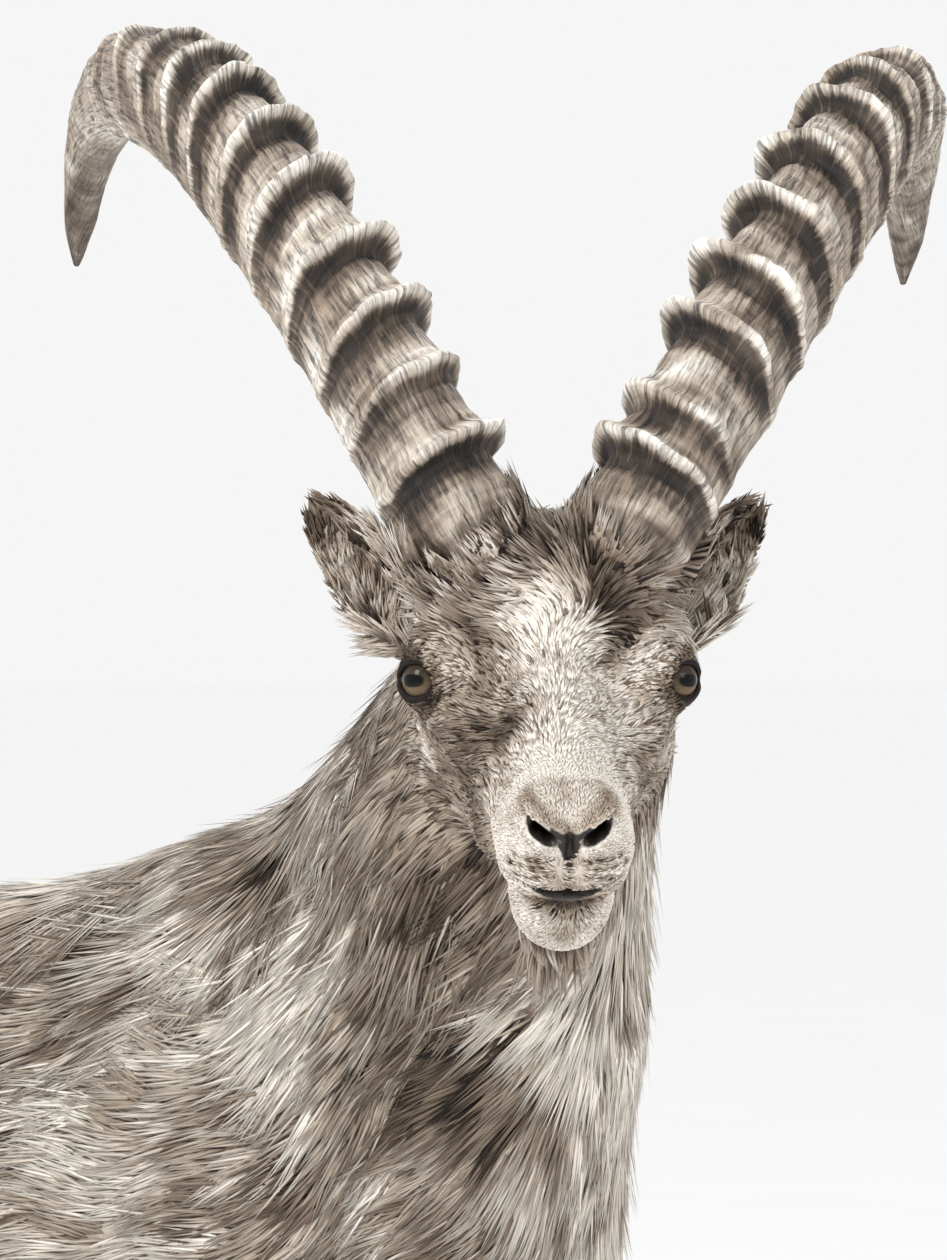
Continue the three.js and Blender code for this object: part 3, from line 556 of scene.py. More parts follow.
def face_tone(q):
    """Light and dark on the head: a pale blaze and muzzle, darker cheeks, brow tufts and eye surrounds, and
    painted shade under the jaw and the upper lip.
    """
    x, y, z = q.T
    side = np.abs(y)
    tone = np.full(len(q), 0.68)
    top = smooth(-22, 8, z)
    blaze_middle = mix(6, 17, smooth(120, 40, x)) - 18 * smooth(36, 0, x)
    blaze = bump(y, blaze_middle, mix(25, 34, smooth(120, 50, x))) * smooth(-8, 22, x)
    tone += 0.70 * blaze * (1 - smooth(128, 150, x)) * top
    tone += 0.38 * smooth(70, 142, x) - 0.75 * whisker_spots(q)
    tone -= 0.02 * smooth(10, -30, x) * top
    tone -= 0.22 * bump(side, 50, 18) * bump(x, 58, 52) * bump(z, -26, 30)
    tone += 0.22 * bump(side, 66, 20) * bump(x, -2, 34) * bump(z, -44, 16)
    groove = bump(side, 0, mix(1.6, 4.5, smooth(-26, -8, z))) * smooth(6, 0, z) * smooth(-37, -34, z)
    tone -= 0.50 * smooth(164, 172, x) * groove
    tone -= 0.30 * bump(nose_fold(side, z), 3, 3) * smooth(146, 158, x)
    tone += 0.10 * bump(z - mouth_height(side), 4.0, 1.8) * smooth(120, 140, x) * smooth(4, 8, side)
    tone = add_marks(tone, q, FACE_MARKS)
    bulge, _ = lid_fields(q)
    tone -= 0.36 * bump(bulge, 1, 6)
    tone += 0.16 * bump(bulge, 13, 5) * smooth(0, 12, z)
    return tone


# Single marks on the face: place, reach and how much lighter or darker, in the head's frame. Two of them are
# painted shade: under the jaw, and under the upper lip in the slit of the mouth.
FACE_MARKS = [
    ([76, -20, 8], [14, 10, 20], -0.56),
    ([66, -30, 0], [18, 8, 16], -0.30),
    ([66, 22, 12], [12, 6, 20], -0.44),
    ([96, 18, 6], [9, 6, 14], -0.34),
    ([14, 26, 40], [22, 9, 26], -0.50),
    ([-6, 4, 56], [12, 22, 22], -0.38),
    ([-22, 44, 50], [22, 14, 30], -0.28),
    ([6, -34, 34], [16, 16, 24], -0.34),
    ([-30, -48, 50], [18, 22, 30], -0.14),
    ([-34, 6, 78], [16, 28, 30], -0.20),
    ([60, 50, 0], [40, 18, 30], 0.22),
    ([150, 0, 14], [16, 22, 12], -0.30),
    ([182, 6, -30], [14, 6, 7], -0.34),
    ([182, -6, -30], [14, 6, 7], -0.34),
    ([180, 15, -16], [14, 9, 8], -0.20),
    ([180, -15, -16], [14, 9, 8], -0.26),
    # Painted shade under the jaw
    ([108, 0, -92], [40, 26, 18], -0.24),
    ([160, 0, -66], [26, 19, 13], -0.26),
    ([166, 0, -51], [26, 19, 5], -0.30),
    # Painted shadow under the upper lip, in the slit of the mouth
    ([162, 0, -43], [32, 31, 4.8], -1.0),
]


# Single marks on the neck and shoulder, in the same way, in the body's frame
BODY_MARKS = [
    ([100, -106, 850], [26, 60, 56], 0.38),
    ([190, -135, 860], [32, 60, 50], -0.16),
    ([215, -122, 800], [30, 60, 44], -0.12),
    ([222, -143, 900], [30, 50, 30], -0.16),
    ([150, -120, 870], [12, 50, 50], 0.14),
    ([280, -85, 830], [26, 60, 70], 0.12),
    ([94, -121, 763], [32, 60, 20], -0.22),
    ([134, -117, 802], [14, 50, 32], -0.20),
    ([-102, -31, 875], [70, 60, 9], -0.14),
    ([7, -107, 829], [52, 60, 12], -0.15),
    ([-41, -112, 796], [50, 60, 12], -0.15),
    ([25, -126, 768], [40, 60, 16], -0.18),
    ([-85, -112, 763], [44, 60, 12], -0.12),
]


def add_marks(tone, p, marks):
    for centre, reach, amount in marks:
        tone = tone + amount * np.exp(-(((p - centre) / reach) ** 2).sum(axis=1))
    return tone


def coat_tone(p, weights=None):
    """How light the coat is at each point, before the variation from tuft to tuft."""
    weights = region_weights(p) if weights is None else weights
    x, y, z = p.T
    trunk = 0.83 + 0.02 * smooth(560, 500, z)
    trunk -= 0.20 * bump(z, 600, 40) * smooth(-700, -500, x) * smooth(60, -60, x)
    trunk += 0.22 * smooth(-760, -820, x) * bump(y, 0, 70) * smooth(800, 740, z)
    trunk += 0.09 * waves(p * [0.45, 1, 1.3], 120, 3) + 0.13 * waves(p * [0.35, 1, 2.2], 56, 9)
    q = into_head(p)
    neck = 0.80 + 0.13 * waves(p * [1, 1, 0.5], 90, 4) + 0.12 * waves(p * [1.5, 1.5, 0.4], 46, 10)
    neck += 0.22 * smooth(-4, 60, q[:, 1]) * smooth(-60, -110, q[:, 2])
    neck -= 0.22 * bump(q[:, 1], -36, 34) * smooth(-70, -130, q[:, 2])
    neck -= 0.20 * np.exp(-np.linalg.norm(q - [60, 0, -110], axis=1) / 60)
    leg = 0.22 + 0.26 * smooth(380, 560, z) + 0.05 * waves(p, 60, 5)
    near_leg = smooth(46, 0, np.minimum(foreleg_field(p), hindleg_field(p)))
    trunk -= 0.24 * near_leg * smooth(660, 520, z)
    head = face_tone(q) + 0.06 * waves(q * [0.6, 1.4, 1], 26, 6)
    return add_marks(over_regions(weights, trunk, neck, leg, 0.14, head), p, BODY_MARKS)


# Materials
def node(tree, kind, inputs=None, **settings):
    made = tree.nodes.new(kind)
    for key, value in settings.items():
        setattr(made, key, value)
    for key, value in (inputs or {}).items():
        if isinstance(value, bpy.types.NodeSocket):
            tree.links.new(value, made.inputs[key])
        else:
            made.inputs[key].default_value = value
    return made


def new_material(name, roughness, specular, **sockets):
    material = bpy.data.materials.new(name)
    material.use_nodes = True
    shader = material.node_tree.nodes["Principled BSDF"]
    for key, value in {"Roughness": roughness, "Specular IOR Level": specular, **sockets}.items():
        shader.inputs[key].default_value = value
    return material, material.node_tree, shader


def attribute(tree, name, output="Color"):
    return node(tree, "ShaderNodeAttribute", attribute_name=name).outputs[output]


def object_place(tree):
    return node(tree, "ShaderNodeTexCoord").outputs["Object"]


def noise(tree, place, scale, detail, stretch=None, rough=0.5):
    """Noise over a place, which is stretched first where asked."""
    if stretch:
        place = node(tree, "ShaderNodeMapping", {"Vector": place, "Scale": stretch}).outputs[0]
    inputs = {"Vector": place, "Scale": scale, "Detail": detail, "Roughness": rough}
    return node(tree, "ShaderNodeTexNoise", inputs).outputs["Fac"]


def spread(tree, value, low, high, start=0.0, end=1.0):
    """A value's stretch from start to end, moved to the stretch from low to high."""
    inputs = {"Value": value, "From Min": start, "From Max": end, "To Min": low, "To Max": high}
    return node(tree, "ShaderNodeMapRange", inputs).outputs[0]


def colour_mix(tree, share, first, second):
    return node(tree, "ShaderNodeMix", {0: share, 6: first, 7: second}, data_type="RGBA").outputs[2]


def maths(tree, operation, *values):
    return node(tree, "ShaderNodeMath", dict(enumerate(values)), operation=operation).outputs[0]


def tint(tree, shader, colour, factor):
    """The shader's colour: a colour made darker or lighter by a factor."""
    scaled = node(tree, "ShaderNodeVectorMath", {0: colour, 1: factor}, operation="MULTIPLY")
    tree.links.new(scaled.outputs[0], shader.inputs["Base Color"])


def raise_up(tree, shader, height, strength, distance):
    raised = node(tree, "ShaderNodeBump", {"Height": height, "Strength": strength, "Distance": distance})
    tree.links.new(raised.outputs[0], shader.inputs["Normal"])


def hair_material(name, stretch, low, high):
    """Hair: the tuft's own colour, with fine strands along it."""
    material, tree, shader = new_material(name, 0.78, 0.18)
    strands = noise(tree, node(tree, "ShaderNodeUVMap", uv_map="Strand").outputs["UV"], 1.0, 2.0, stretch)
    tint(tree, shader, attribute(tree, "Coat"), spread(tree, strands, low, high))
    raise_up(tree, shader, strands, 0.4, 0.0006)
    return material


def hide_material():
    """Skin under the coat: its markings with a fine grain, and bare, pebbled skin where Bare says so."""
    material, tree, shader = new_material("hide", 0.75, 0.3)
    level = attribute(tree, "Bare", "Fac")
    bare = spread(tree, level, 0.0, 1.0, -0.35, 0.35)
    inward = spread(tree, level, 0.0, 1.0, 1.0, 3.5)
    place = object_place(tree)
    grain = noise(tree, place, 420.0, 3.0)
    dark = colour_mix(tree, inward, (0.021, 0.017, 0.015, 1), (0.004, 0.003, 0.003, 1))
    shade = colour_mix(tree, bare, attribute(tree, "Coat"), dark)
    tint(tree, shader, shade, spread(tree, grain, 0.5, 1.4))
    tree.links.new(spread(tree, bare, 0.8, 0.36), shader.inputs["Roughness"])
    cells = node(tree, "ShaderNodeTexVoronoi", {"Vector": place, "Scale": 620.0}).outputs["Distance"]
    relief = node(tree, "ShaderNodeMix", {0: bare, 2: grain, 3: cells}).outputs[0]
    raise_up(tree, shader, relief, 0.45, 0.0008)
    return material


def horn_material():
    """Horn: fine fibres along it, short dark cracks that crowd into the painted shade under the ridges, thin
    rings and blotches.
    """
    material, tree, shader = new_material("horn", 0.62, 0.32)
    grain = attribute(tree, "Grain", "Vector")
    fibres = noise(tree, grain, 1.0, 4.0, (0.50, 0.50, 0.045), 0.65)
    cracks = noise(tree, grain, 1.0, 3.0, (0.34, 0.34, 0.050))
    rings = noise(tree, grain, 1.0, 3.0, (0.03, 0.03, 0.42))
    blotches = noise(tree, grain, 1.0, 3.0, (0.07, 0.07, 0.05))
    # The cracks open more where the painted shade under the ridges lies, which darkens it further
    open_at = spread(tree, attribute(tree, "Hollow", "Fac"), 0.39, 0.56)
    gap = spread(tree, maths(tree, "SUBTRACT", cracks, open_at), 0.10, 1.0, -0.04, 0.04)
    streaked = maths(tree, "MULTIPLY", spread(tree, fibres, 0.12, 0.92, 0.34, 0.66), gap)
    ringed = maths(tree, "MULTIPLY_ADD", rings, 0.42, streaked)
    varied = maths(tree, "MULTIPLY_ADD", blotches, 0.65, ringed)
    tint(tree, shader, attribute(tree, "Coat"), spread(tree, varied, 0.10, 1.85, 0.40, 1.25))
    raise_up(tree, shader, ringed, 0.8, 0.003)
    return material


def eye_material():
    """A wet eye: amber iris with fine spokes, a level pupil and a clear coat."""
    wet = {"Coat Weight": 0.24, "Coat Roughness": 0.03}
    material, tree, shader = new_material("eye", 0.25, 0.06, **wet)
    spokes = noise(tree, attribute(tree, "Grain", "Vector"), 1.0, 3.0, (9, 9, 1.2))
    tint(tree, shader, attribute(tree, "Coat"), spread(tree, spokes, 0.45, 1.6))
    return material


def plain_material(name, roughness, specular, colour, low, high, raised, *noise_settings):
    """One shade made darker and lighter by noise, which also raises it."""
    material, tree, shader = new_material(name, roughness, specular)
    shade = node(tree, "ShaderNodeRGB").outputs[0]
    shade.default_value = (*colour, 1)
    grain = noise(tree, object_place(tree), *noise_settings)
    tint(tree, shader, shade, spread(tree, grain, low, high))
    if raised:
        raise_up(tree, shader, grain, *raised)
    return material


hide = hide_material()
hair_fine = hair_material("hair_fine", (1.8, 0.10, 1), 0.35, 1.7)
hair_long = hair_material("hair_long", (1.6, 0.035, 1), 0.5, 1.5)
horn_mat = horn_material()
eye_mat = eye_material()
rim_mat = plain_material("lid_rim", 0.6, 0.12, (0.012, 0.009, 0.008), 0.5, 1.7, (0.35, 0.0006), 260.0, 3.0)
# Hooves are dark, with rings of growth that follow the ground
hoof_mat = plain_material(
    "hoof", 0.55, 0.25, (0.020, 0.016, 0.013), 0.3, 2.0, (0.5, 0.001), 1.0, 3.0, (14, 14, 420))
floor_mat = plain_material("studio_floor", 0.9, 0.2, (0.985, 0.985, 0.985), 0.985, 1.015, None, 3.0, 2.0)

# The skin: its grid reaches over the whole animal and is fine over the head
SKIN_STEPS = (2.3, 7.5)
SKIN_REACH = [(-925, 385, 172, 372), (-345, 190, -322, -40), (18, 1135, 880, 1128)]
skin_points, skin_quads = surface_mesh(body_field, [grid_lines(*reach, *SKIN_STEPS) for reach in SKIN_REACH])
skin_tone = coat_tone(skin_points)
skin_in_head = into_head(skin_points)


def bareness(q):
    """How far, in mm, a point lies inside the bare skin of nose, nostrils, lips and lids."""
    x, y, z = q.T
    side = np.abs(y)
    below_mouth = mouth_height(side) - z
    _, opening = lid_fields(q)
    edges = [
        np.minimum.reduce([x - 165, mix(0.7, 5.5, smooth(-25, -4, z)) - side, 2 - z, z + 36]),
        np.minimum.reduce([1.9 - nose_fold(side, z), x - 158, 12 - side]),
        np.minimum(2.8 * (1 - (side / 22) ** 2) - np.abs(below_mouth - 2.6), x - 148),
        1.5 - opening,
    ]
    lips = np.minimum.reduce([1.3 - np.abs(below_mouth), x - 108, 48 - side])
    return np.maximum.reduce([*(np.minimum(edge, 0.9) for edge in edges), 1.1 - nostril_field(q), lips])


skin_bare = np.clip(bareness(skin_in_head), -5, 5)
# Painted shade: the skin is darker than the coat over it, so that the gaps between the tufts look shaded;
# less so towards the muzzle
skin_colour = ramp(skin_tone - mix(0.20, 0.06, smooth(60, 130, skin_in_head[:, 0])))
skin = make_mesh("skin", skin_points, skin_quads, hide, colours=skin_colour, amounts={"Bare": skin_bare})
LEGS = [f"{end}leg_{side}" for end in ("fore", "hind") for side in SIDES]
place_piece(skin, "coat", "head", "neck", "torso", "tail", *LEGS)


# Tufts
ROOTS_TRIED = 3.0  # for each root that there is room for
CLUMP_SHARE = 1 / 14  # clumps for each tuft
LOOSE_SHARE = 0.05  # of the tufts stand up more
DARK_CLUMPS = 0.17  # of the clumps are darker
DARK_TUFTS = 0.15  # of the single tufts are darker
TIP_FADE = 0.26  # how much lighter a tip is than its root, where the look doesn't say
TUFT_PATCH = 0.0015  # half of what one tuft takes up in the unwrap
STRAND_SPAN = 900  # how far apart tufts may lie in the pattern of strands, in millimetres
MOST_TUFTS = 19500  # in one coat piece
# Where a tuft's cross-sections lie along it and how thick they are there, by its number of segments
TUFT_FORMS = {2: ([0.0, 0.42, 1.0], [0.75, 1.0]), 3: ([0.0, 0.3, 0.66, 1.0], [0.7, 1.0, 0.72])}


def scatter(points, faces, spacing_of, seed):
    """Roots spread evenly over a mesh, about as far apart as spacing_of says, and the normals there."""
    random = np.random.default_rng(seed)
    if faces.shape[1] == 4:
        faces = np.vstack([faces[:, [0, 1, 2]], faces[:, [0, 2, 3]]])
    corners = points[faces]
    normal = np.cross(corners[:, 1] - corners[:, 0], corners[:, 2] - corners[:, 0])
    area = np.linalg.norm(normal, axis=1) / 2
    spacing = spacing_of(corners.mean(axis=1))
    count = random.poisson(area / spacing ** 2 * ROOTS_TRIED)
    index = np.repeat(np.arange(len(area)), count)
    a, b = random.random((2, len(index)))
    flip = a + b > 1
    a, b = np.where(flip, 1 - a, a), np.where(flip, 1 - b, b)
    c = corners[index]
    roots = c[:, 0] + a[:, None] * (c[:, 1] - c[:, 0]) + b[:, None] * (c[:, 2] - c[:, 0])
    order = random.permutation(len(roots))
    roots, gap, normals = roots[order], spacing[index][order], unit(normal[index][order])
    # The first root in each cell stays. Cells come in a few sizes, so that the rows of cells agree.
    gap = 2.0 ** (np.round(np.log2(gap) * 3) / 3)
    cells = np.column_stack([np.floor(roots / gap[:, None]), np.round(gap * 100)]).astype(np.int64)
    _, first = np.unique(cells, axis=0, return_index=True)
    return roots[first], normals[first]


def clumps(roots, seed):
    """Which clump each tuft belongs to, and where the clumps' middles are."""
    random = np.random.default_rng(seed)
    chosen = roots[random.choice(len(roots), max(2, int(len(roots) * CLUMP_SHARE)), replace=False)]
    tree = kdtree.KDTree(len(chosen))
    for i, place in enumerate(chosen):
        tree.insert(place, i)
    tree.balance()
    return np.array([tree.find(place)[1] for place in roots]), chosen


def grow(name, roots, normals, lie, look, material, atlas, seed, field=None, segments=2, gravity=0.0):
    """One coat piece: a closed, tapered tuft at each root. look holds their sizes and tones."""
    random = np.random.default_rng(seed)
    count = len(roots)
    look = {key: np.broadcast_to(value, count) for key, value in look.items()}
    group, middles = clumps(roots, seed)
    clump_turn = random.normal(0, 1, len(middles))[group]
    clump_tone = random.normal(0, 1, len(middles))[group]
    clump_size = random.uniform(0.82, 1.18, len(middles))[group]
    along = unit(across_normals(lie, normals))
    across = np.cross(normals, along)
    angle = 0.32 * clump_turn + 0.15 * random.normal(size=count) + 1.3 * waves(roots, 100, 7)
    angle = angle * look["stray"]
    along = along * np.cos(angle)[:, None] + across * np.sin(angle)[:, None]
    across = np.cross(normals, along)
    length = look["length"] * clump_size * random.uniform(0.75, 1.15, count)
    pull = across_normals(middles[group] - roots, normals)
    pull = pull * np.minimum(1, 0.45 * length / np.maximum(np.linalg.norm(pull, axis=1), 1e-6))[:, None]
    sway = random.normal(0, 0.05, count) + 0.17 * clump_turn
    loose = (random.random(count) < LOOSE_SHARE) * look["rise"]

    # The middle line of each tuft follows the surface, and its root is sunk in
    shares, girths = TUFT_FORMS[segments]
    spine = []
    for t in shares:
        point = roots + along * (length * t)[:, None] + across * (sway * length * t * (1 - 0.6 * t))[:, None]
        point = point + pull * look["gather"][:, None] * t ** 1.4
        point[:, 2] -= gravity * length * t * t
        height = 0.4 + (look["rise"] + 0.9 * loose * t) * length * t if t else -np.minimum(0.12 * length, 4)
        if t and field is not None:
            height = height - np.clip(field(point), -0.6 * length, 0.6 * length)
        spine.append(point + normals * height[:, None])
    rings = []
    for girth, point in zip(girths, spine):
        half = across * (0.5 * look["width"] * girth)[:, None]
        top = point + normals * (look["thick"] * girth)[:, None]
        rings.append(np.stack([point - half, top, point + half], axis=1))
    points = np.concatenate([*rings, spine[-1][:, None]], axis=1)
    each = points.shape[1]
    pattern = [[0, 2, 1]]
    for ring in range(segments - 1):
        for k in range(3):
            a, b = 3 * ring + k, 3 * ring + (k + 1) % 3
            pattern += [[a, b, b + 3], [a, b + 3, a + 3]]
    last = 3 * (segments - 1)
    pattern += [[last + k, last + (k + 1) % 3, each - 1] for k in range(3)]
    pattern = np.array(pattern)[:, ::-1]
    faces = (np.arange(count)[:, None, None] * each + pattern).reshape(-1, 3)

    # Tones vary from clump to clump and tuft to tuft, and rise towards the tip
    tone = look["tone"] + look["contrast"] * (0.7 * clump_tone + 0.28 * random.normal(size=count))
    tone = tone - look.get("dark", 0) * (random.random(len(middles)) < DARK_CLUMPS)[group]
    tone = tone - look.get("strokes", 0) * (random.random(count) < DARK_TUFTS)
    steps = np.repeat(shares, [3] * segments + [1])
    fade = np.broadcast_to(look.get("fade", TIP_FADE), count)
    colours = ramp((tone[:, None] + fade[:, None] * (steps - 0.65)).ravel())
    sides = np.array([-1, 0, 1] * segments + [0])
    strand = np.column_stack([
        (sides * look["width"][:, None] / 2 + random.uniform(0, STRAND_SPAN, count)[:, None]).ravel(),
        (steps * length[:, None] + random.uniform(0, STRAND_SPAN, count)[:, None]).ravel()])
    patch = atlas(roots)[:, None] + TUFT_PATCH * np.stack([sides, 2 * steps - 1], axis=-1)
    return make_mesh(name, points.reshape(-1, 3), faces, material, colours=colours,
                     maps={"OFBake": patch.reshape(-1, 2), "Strand": strand})


def atlas_round(start, end, up=(0, 0, 1)):
    """An unwrap round an axis: one way along it, the other way round it."""
    start, end = np.array(start, float), np.array(end, float)
    axis = unit(end - start)
    side = unit(np.cross(np.array(up, float), axis))
    top = np.cross(axis, side)
    reach = np.linalg.norm(end - start)

    def place(p):
        d = p - start
        round_it = np.arctan2(d @ side, d @ top) / (2 * math.pi) + 0.5
        return mix(0.02, 0.98, np.column_stack([round_it, np.clip(d @ axis / reach, 0, 1)]))

    return place


def lie_of_coat(p, weights):
    """Which way the hair lies: back along the trunk and face, and down the neck, legs and tail."""
    x, y, z = p.T
    side = np.sign(y)
    zero = np.zeros(len(p))
    front = smooth(70, 190, x)
    trunk = np.column_stack([-1 + 0.7 * front, 0.1 * side, -0.16 - 0.35 * smooth(700, 550, z) - 1.1 * front])
    neck = unit(np.array([10.0, 0, 640]) - p) + [-0.25, 0.05, -0.35]
    leg = np.column_stack([zero - 0.15, zero, zero - 1])
    tail = np.column_stack([zero - 0.3, zero, zero - 1])
    q = into_head(p)
    fan = 0.026 * q[:, 1]
    back = unit(np.column_stack([zero - 1, fan, zero - 0.15 - 0.5 * smooth(-20, -60, q[:, 2])]))
    round_whorl = unit(unit(q - [24, 26, 42]) + [0.3, 0, -0.3])
    _, lid_gap = lid_fields(q)
    crown = (smooth(24, 0, q[:, 0]) * smooth(6, 24, q[:, 2]) * smooth(8, 40, lid_gap))[:, None]
    head = mix(back, round_whorl, crown) @ HEAD_TURN.T
    return unit(over_regions(weights[:, :, None], trunk, neck, leg, tail, head))


# What the tufts are like on the trunk, neck, legs and tail, and on the face, crown and muzzle
COAT_LOOKS = dict(
    width=(2.9, 2.8, 3.2, 4.0, (2.0, 3.0, 1.4)),
    rise=(0.10, 0.12, 0.07, 0.08, (0.12, 0.19, 0.13)),
    stray=(0.36, 0.32, 0.16, 0.16, (0.30, 0.50, 0.12)),
    gather=(0.34, 0.34, 0.30, 0.30, (0.30, 0.80, 0.30)),
    contrast=(0.12, 0.14, 0.06, 0.04, (0.10, 0.16, 0.06)),
    dark=(0.24, 0.28, 0.05, 0.05, (0.10, 0.34, 0.04)),
    strokes=(0.10, 0.10, 0, 0, (0.46, 0.46, 0.08)),
)


def coat_look(p, q, weights, tone):
    """Sizes of the tufts at each root, in millimetres, and how much they stray and vary."""
    _, lid_gap = lid_fields(q)
    crown = smooth(30, -22, q[:, 0]) * smooth(0, 26, q[:, 2]) * smooth(8, 36, lid_gap)
    muzzle = smooth(95, 135, q[:, 0])
    under_lip = muzzle * bump(q[:, 2], -50, 8) * smooth(24, 14, np.abs(q[:, 1]))

    def on_head(face, at_crown, at_muzzle):
        return mix(mix(face, at_crown, crown), at_muzzle, muzzle)

    look = {key: over_regions(weights, *body, on_head(*head)) for key, (*body, head) in COAT_LOOKS.items()}
    look["thick"] = 0.3 * look["width"]
    look["strokes"] += 0.6 * under_lip
    look["fade"] = 0.27 + 0.4 * weights[:, HEAD] * crown
    look["tone"] = tone
    crest = smooth(790, 850, p[:, 2]) * smooth(-420, -250, p[:, 0])
    trunk = 54 + 18 * crest + 12 * smooth(560, 500, p[:, 2])
    leg = mix(13, 34, smooth(160, 480, p[:, 2]))
    head = on_head(13, 33, 5.5) * mix(0.5, 1, smooth(2, 12, nostril_field(q)))
    head = head * mix(0.3, 1, smooth(4, 28, lid_gap)) * (1 + 0.9 * under_lip)
    look["length"] = over_regions(weights, trunk, 55, leg, 60, head)
    return look


def coat_spacing(p):
    weights = region_weights(p)
    q = into_head(p)
    head = mix(mix(2.2, 2.55, smooth(-5, -50, q[:, 0])), 1.75, smooth(95, 130, q[:, 0]))
    leg = mix(4.6, 5.4, smooth(250, 480, p[:, 2]))
    return over_regions(weights, 4.0, 3.15, leg, 4.4, head)


def horn_path(side, steps=140):
    """The horn's middle line, in the level frame of the head."""
    t = (np.arange(steps) + 0.5) / steps
    climb = np.radians(73 - 98 * t + 5 * t ** 2 - 28 * t ** 3)
    lean = np.radians(28 - 5 * t - 37 * t ** 2 + 17 * t ** 3 + side * (2 - 2.7 * t))
    step = np.column_stack([-np.cos(climb) * np.cos(lean), np.sin(lean) * side, np.sin(climb) * np.cos(lean)])
    start = np.array([[-3, 53 * side, 89.0]])
    return np.vstack([start, start + np.cumsum(step * HORN_LENGTH[side] / steps, axis=0)])


def horn_gap(p):
    """How far points lie from the middle lines of the horns, near their bases."""
    near = np.full(len(p), NOT_NEAR)
    for side in SIDES.values():
        path = out_of_level_head(horn_path(side)[:24])
        near = np.minimum(near, np.linalg.norm(p[:, None] - path[None], axis=2).min(axis=1))
    return near


def crown_field(p):
    """The skin with the horns on it, for the hair that climbs the horns' bases."""
    value = body_field(p)
    close = np.linalg.norm(p - HEAD_AT, axis=1) < 300
    if close.any():
        value[close] = soft_min(value[close], horn_gap(p[close]) - HORN_BASE, 12)
    return value


def coat_roots():
    """Where hair is rooted, not on bare skin, lids, nostrils, hooves or horns, and how far from the horns."""
    roots, _ = scatter(skin_points, skin_quads, coat_spacing, 17)
    q = into_head(roots)
    _, lid_gap = lid_fields(q)
    by_horn = np.full(len(roots), NOT_NEAR)
    close = np.linalg.norm(roots - HEAD_AT, axis=1) < 260
    by_horn[close] = horn_gap(roots[close])
    haired = (bareness(q) < -0.2) & (lid_gap > 1.7) & (nostril_field(q) > 2.2)
    haired &= (roots[:, 2] > 34) & (by_horn > 35.5)
    return roots[haired], by_horn[haired]


trunk_atlas = atlas_round([-900, 0, 690], [240, 0, 690])
tail_atlas = atlas_round([-800, 0, 820], [-900, 0, 650], up=(1, 0, 0))
neck_atlas = atlas_round([60, 0, 620], from_eyes(-60, 0, 40), up=(1, 0, 0))
head_atlas = atlas_round(*out_of_head(np.array([[-170, 0, -10.0], [190, 0, -30.0]])))


def leg_atlas(p):
    """Each leg has its own column of the unwrap."""
    fore, left = p[:, 0] > -300, p[:, 1] > 0
    middle_x = np.where(fore, 28, mix(-730, -640, smooth(350, 600, p[:, 2])))
    u = np.arctan2(p[:, 1] - np.where(left, 85, -85), p[:, 0] - middle_x) / (2 * math.pi) + 0.5
    column = fore * 2 + left
    return np.column_stack([(column + 0.04 + 0.92 * u) / 4, 0.02 + 0.96 * np.clip(p[:, 2] / 640, 0, 1)])


def body_coat():
    """The coat of the whole body, in pieces of no more than MOST_TUFTS tufts."""
    roots, by_horn = coat_roots()
    normals = slope_of(crown_field, roots)
    q = into_head(roots)
    weights = region_weights(roots)
    look = coat_look(roots, q, weights, coat_tone(roots, weights))
    # On the horns' bases the hair is shorter, and climbs
    up_horn = smooth(70, 44, by_horn)
    look["rise"] = look["rise"] * (1 - 0.4 * up_horn)
    look["length"] = look["length"] * mix(1, mix(0.5, 0.95, smooth(-80, -50, q[:, 0])), up_horn)
    climb = up_horn[:, None] * unit(np.array([-0.45, 0, 0.9])) @ HEAD_LEVEL.T
    lie = unit(lie_of_coat(roots, weights) + 0.9 * climb)
    region = weights.argmax(axis=1)
    head, trunk, front, left = region == HEAD, region == TRUNK, q[:, 0] > 30, roots[:, 1] > 0
    # Which tufts make up each kind of piece, its unwrap, material and slot, and how much its hair hangs
    pieces = [
        ("coat_face", head & front, head_atlas, hair_fine, "coat", 0.0),
        ("coat_crown", head & ~front, head_atlas, hair_fine, "coat", 0.0),
        ("coat_neck", region == NECK, neck_atlas, hair_long, "coat", 0.05),
        ("coat_flank_left", trunk & left, trunk_atlas, hair_long, "coat", 0.03),
        ("coat_flank_right", trunk & ~left, trunk_atlas, hair_long, "coat", 0.03),
        ("coat_legs", region == LEG, leg_atlas, hair_fine, "dark_coat", 0.0),
        ("coat_tail", region == TAIL, tail_atlas, hair_long, "dark_coat", 0.05),
    ]
    for name, chosen, atlas, material, slot, gravity in pieces:
        index = np.flatnonzero(chosen)
        parts = math.ceil(len(index) / MOST_TUFTS)
        field = crown_field if name == "coat_crown" else body_field
        for number, some in enumerate(np.array_split(index[np.argsort(roots[index, 0])], parts)):
            label = name if parts == 1 else f"{name}_{number + 1}"
            picked = {key: values[some] for key, values in look.items()}
            tufts = grow(label, roots[some], normals[some], lie[some], picked, material, atlas,
                         seed=40 + len(label) + number, field=field, gravity=gravity)
            place_piece(tufts, slot)


body_coat()


# Ears
def ear_frame(side):
    """The ear's turn, with its columns along it, across it and out of its opening, and its base."""
    along = unit(np.array([-0.4, 0.6 * side, 0.68]))
    opening = np.array([0.9, 0.3 * side, 0.05])
    opening = unit(opening - along * (opening @ along))
    return np.column_stack([along, np.cross(opening, along), opening]), np.array([-62.0, 66.0 * side, 22.0])


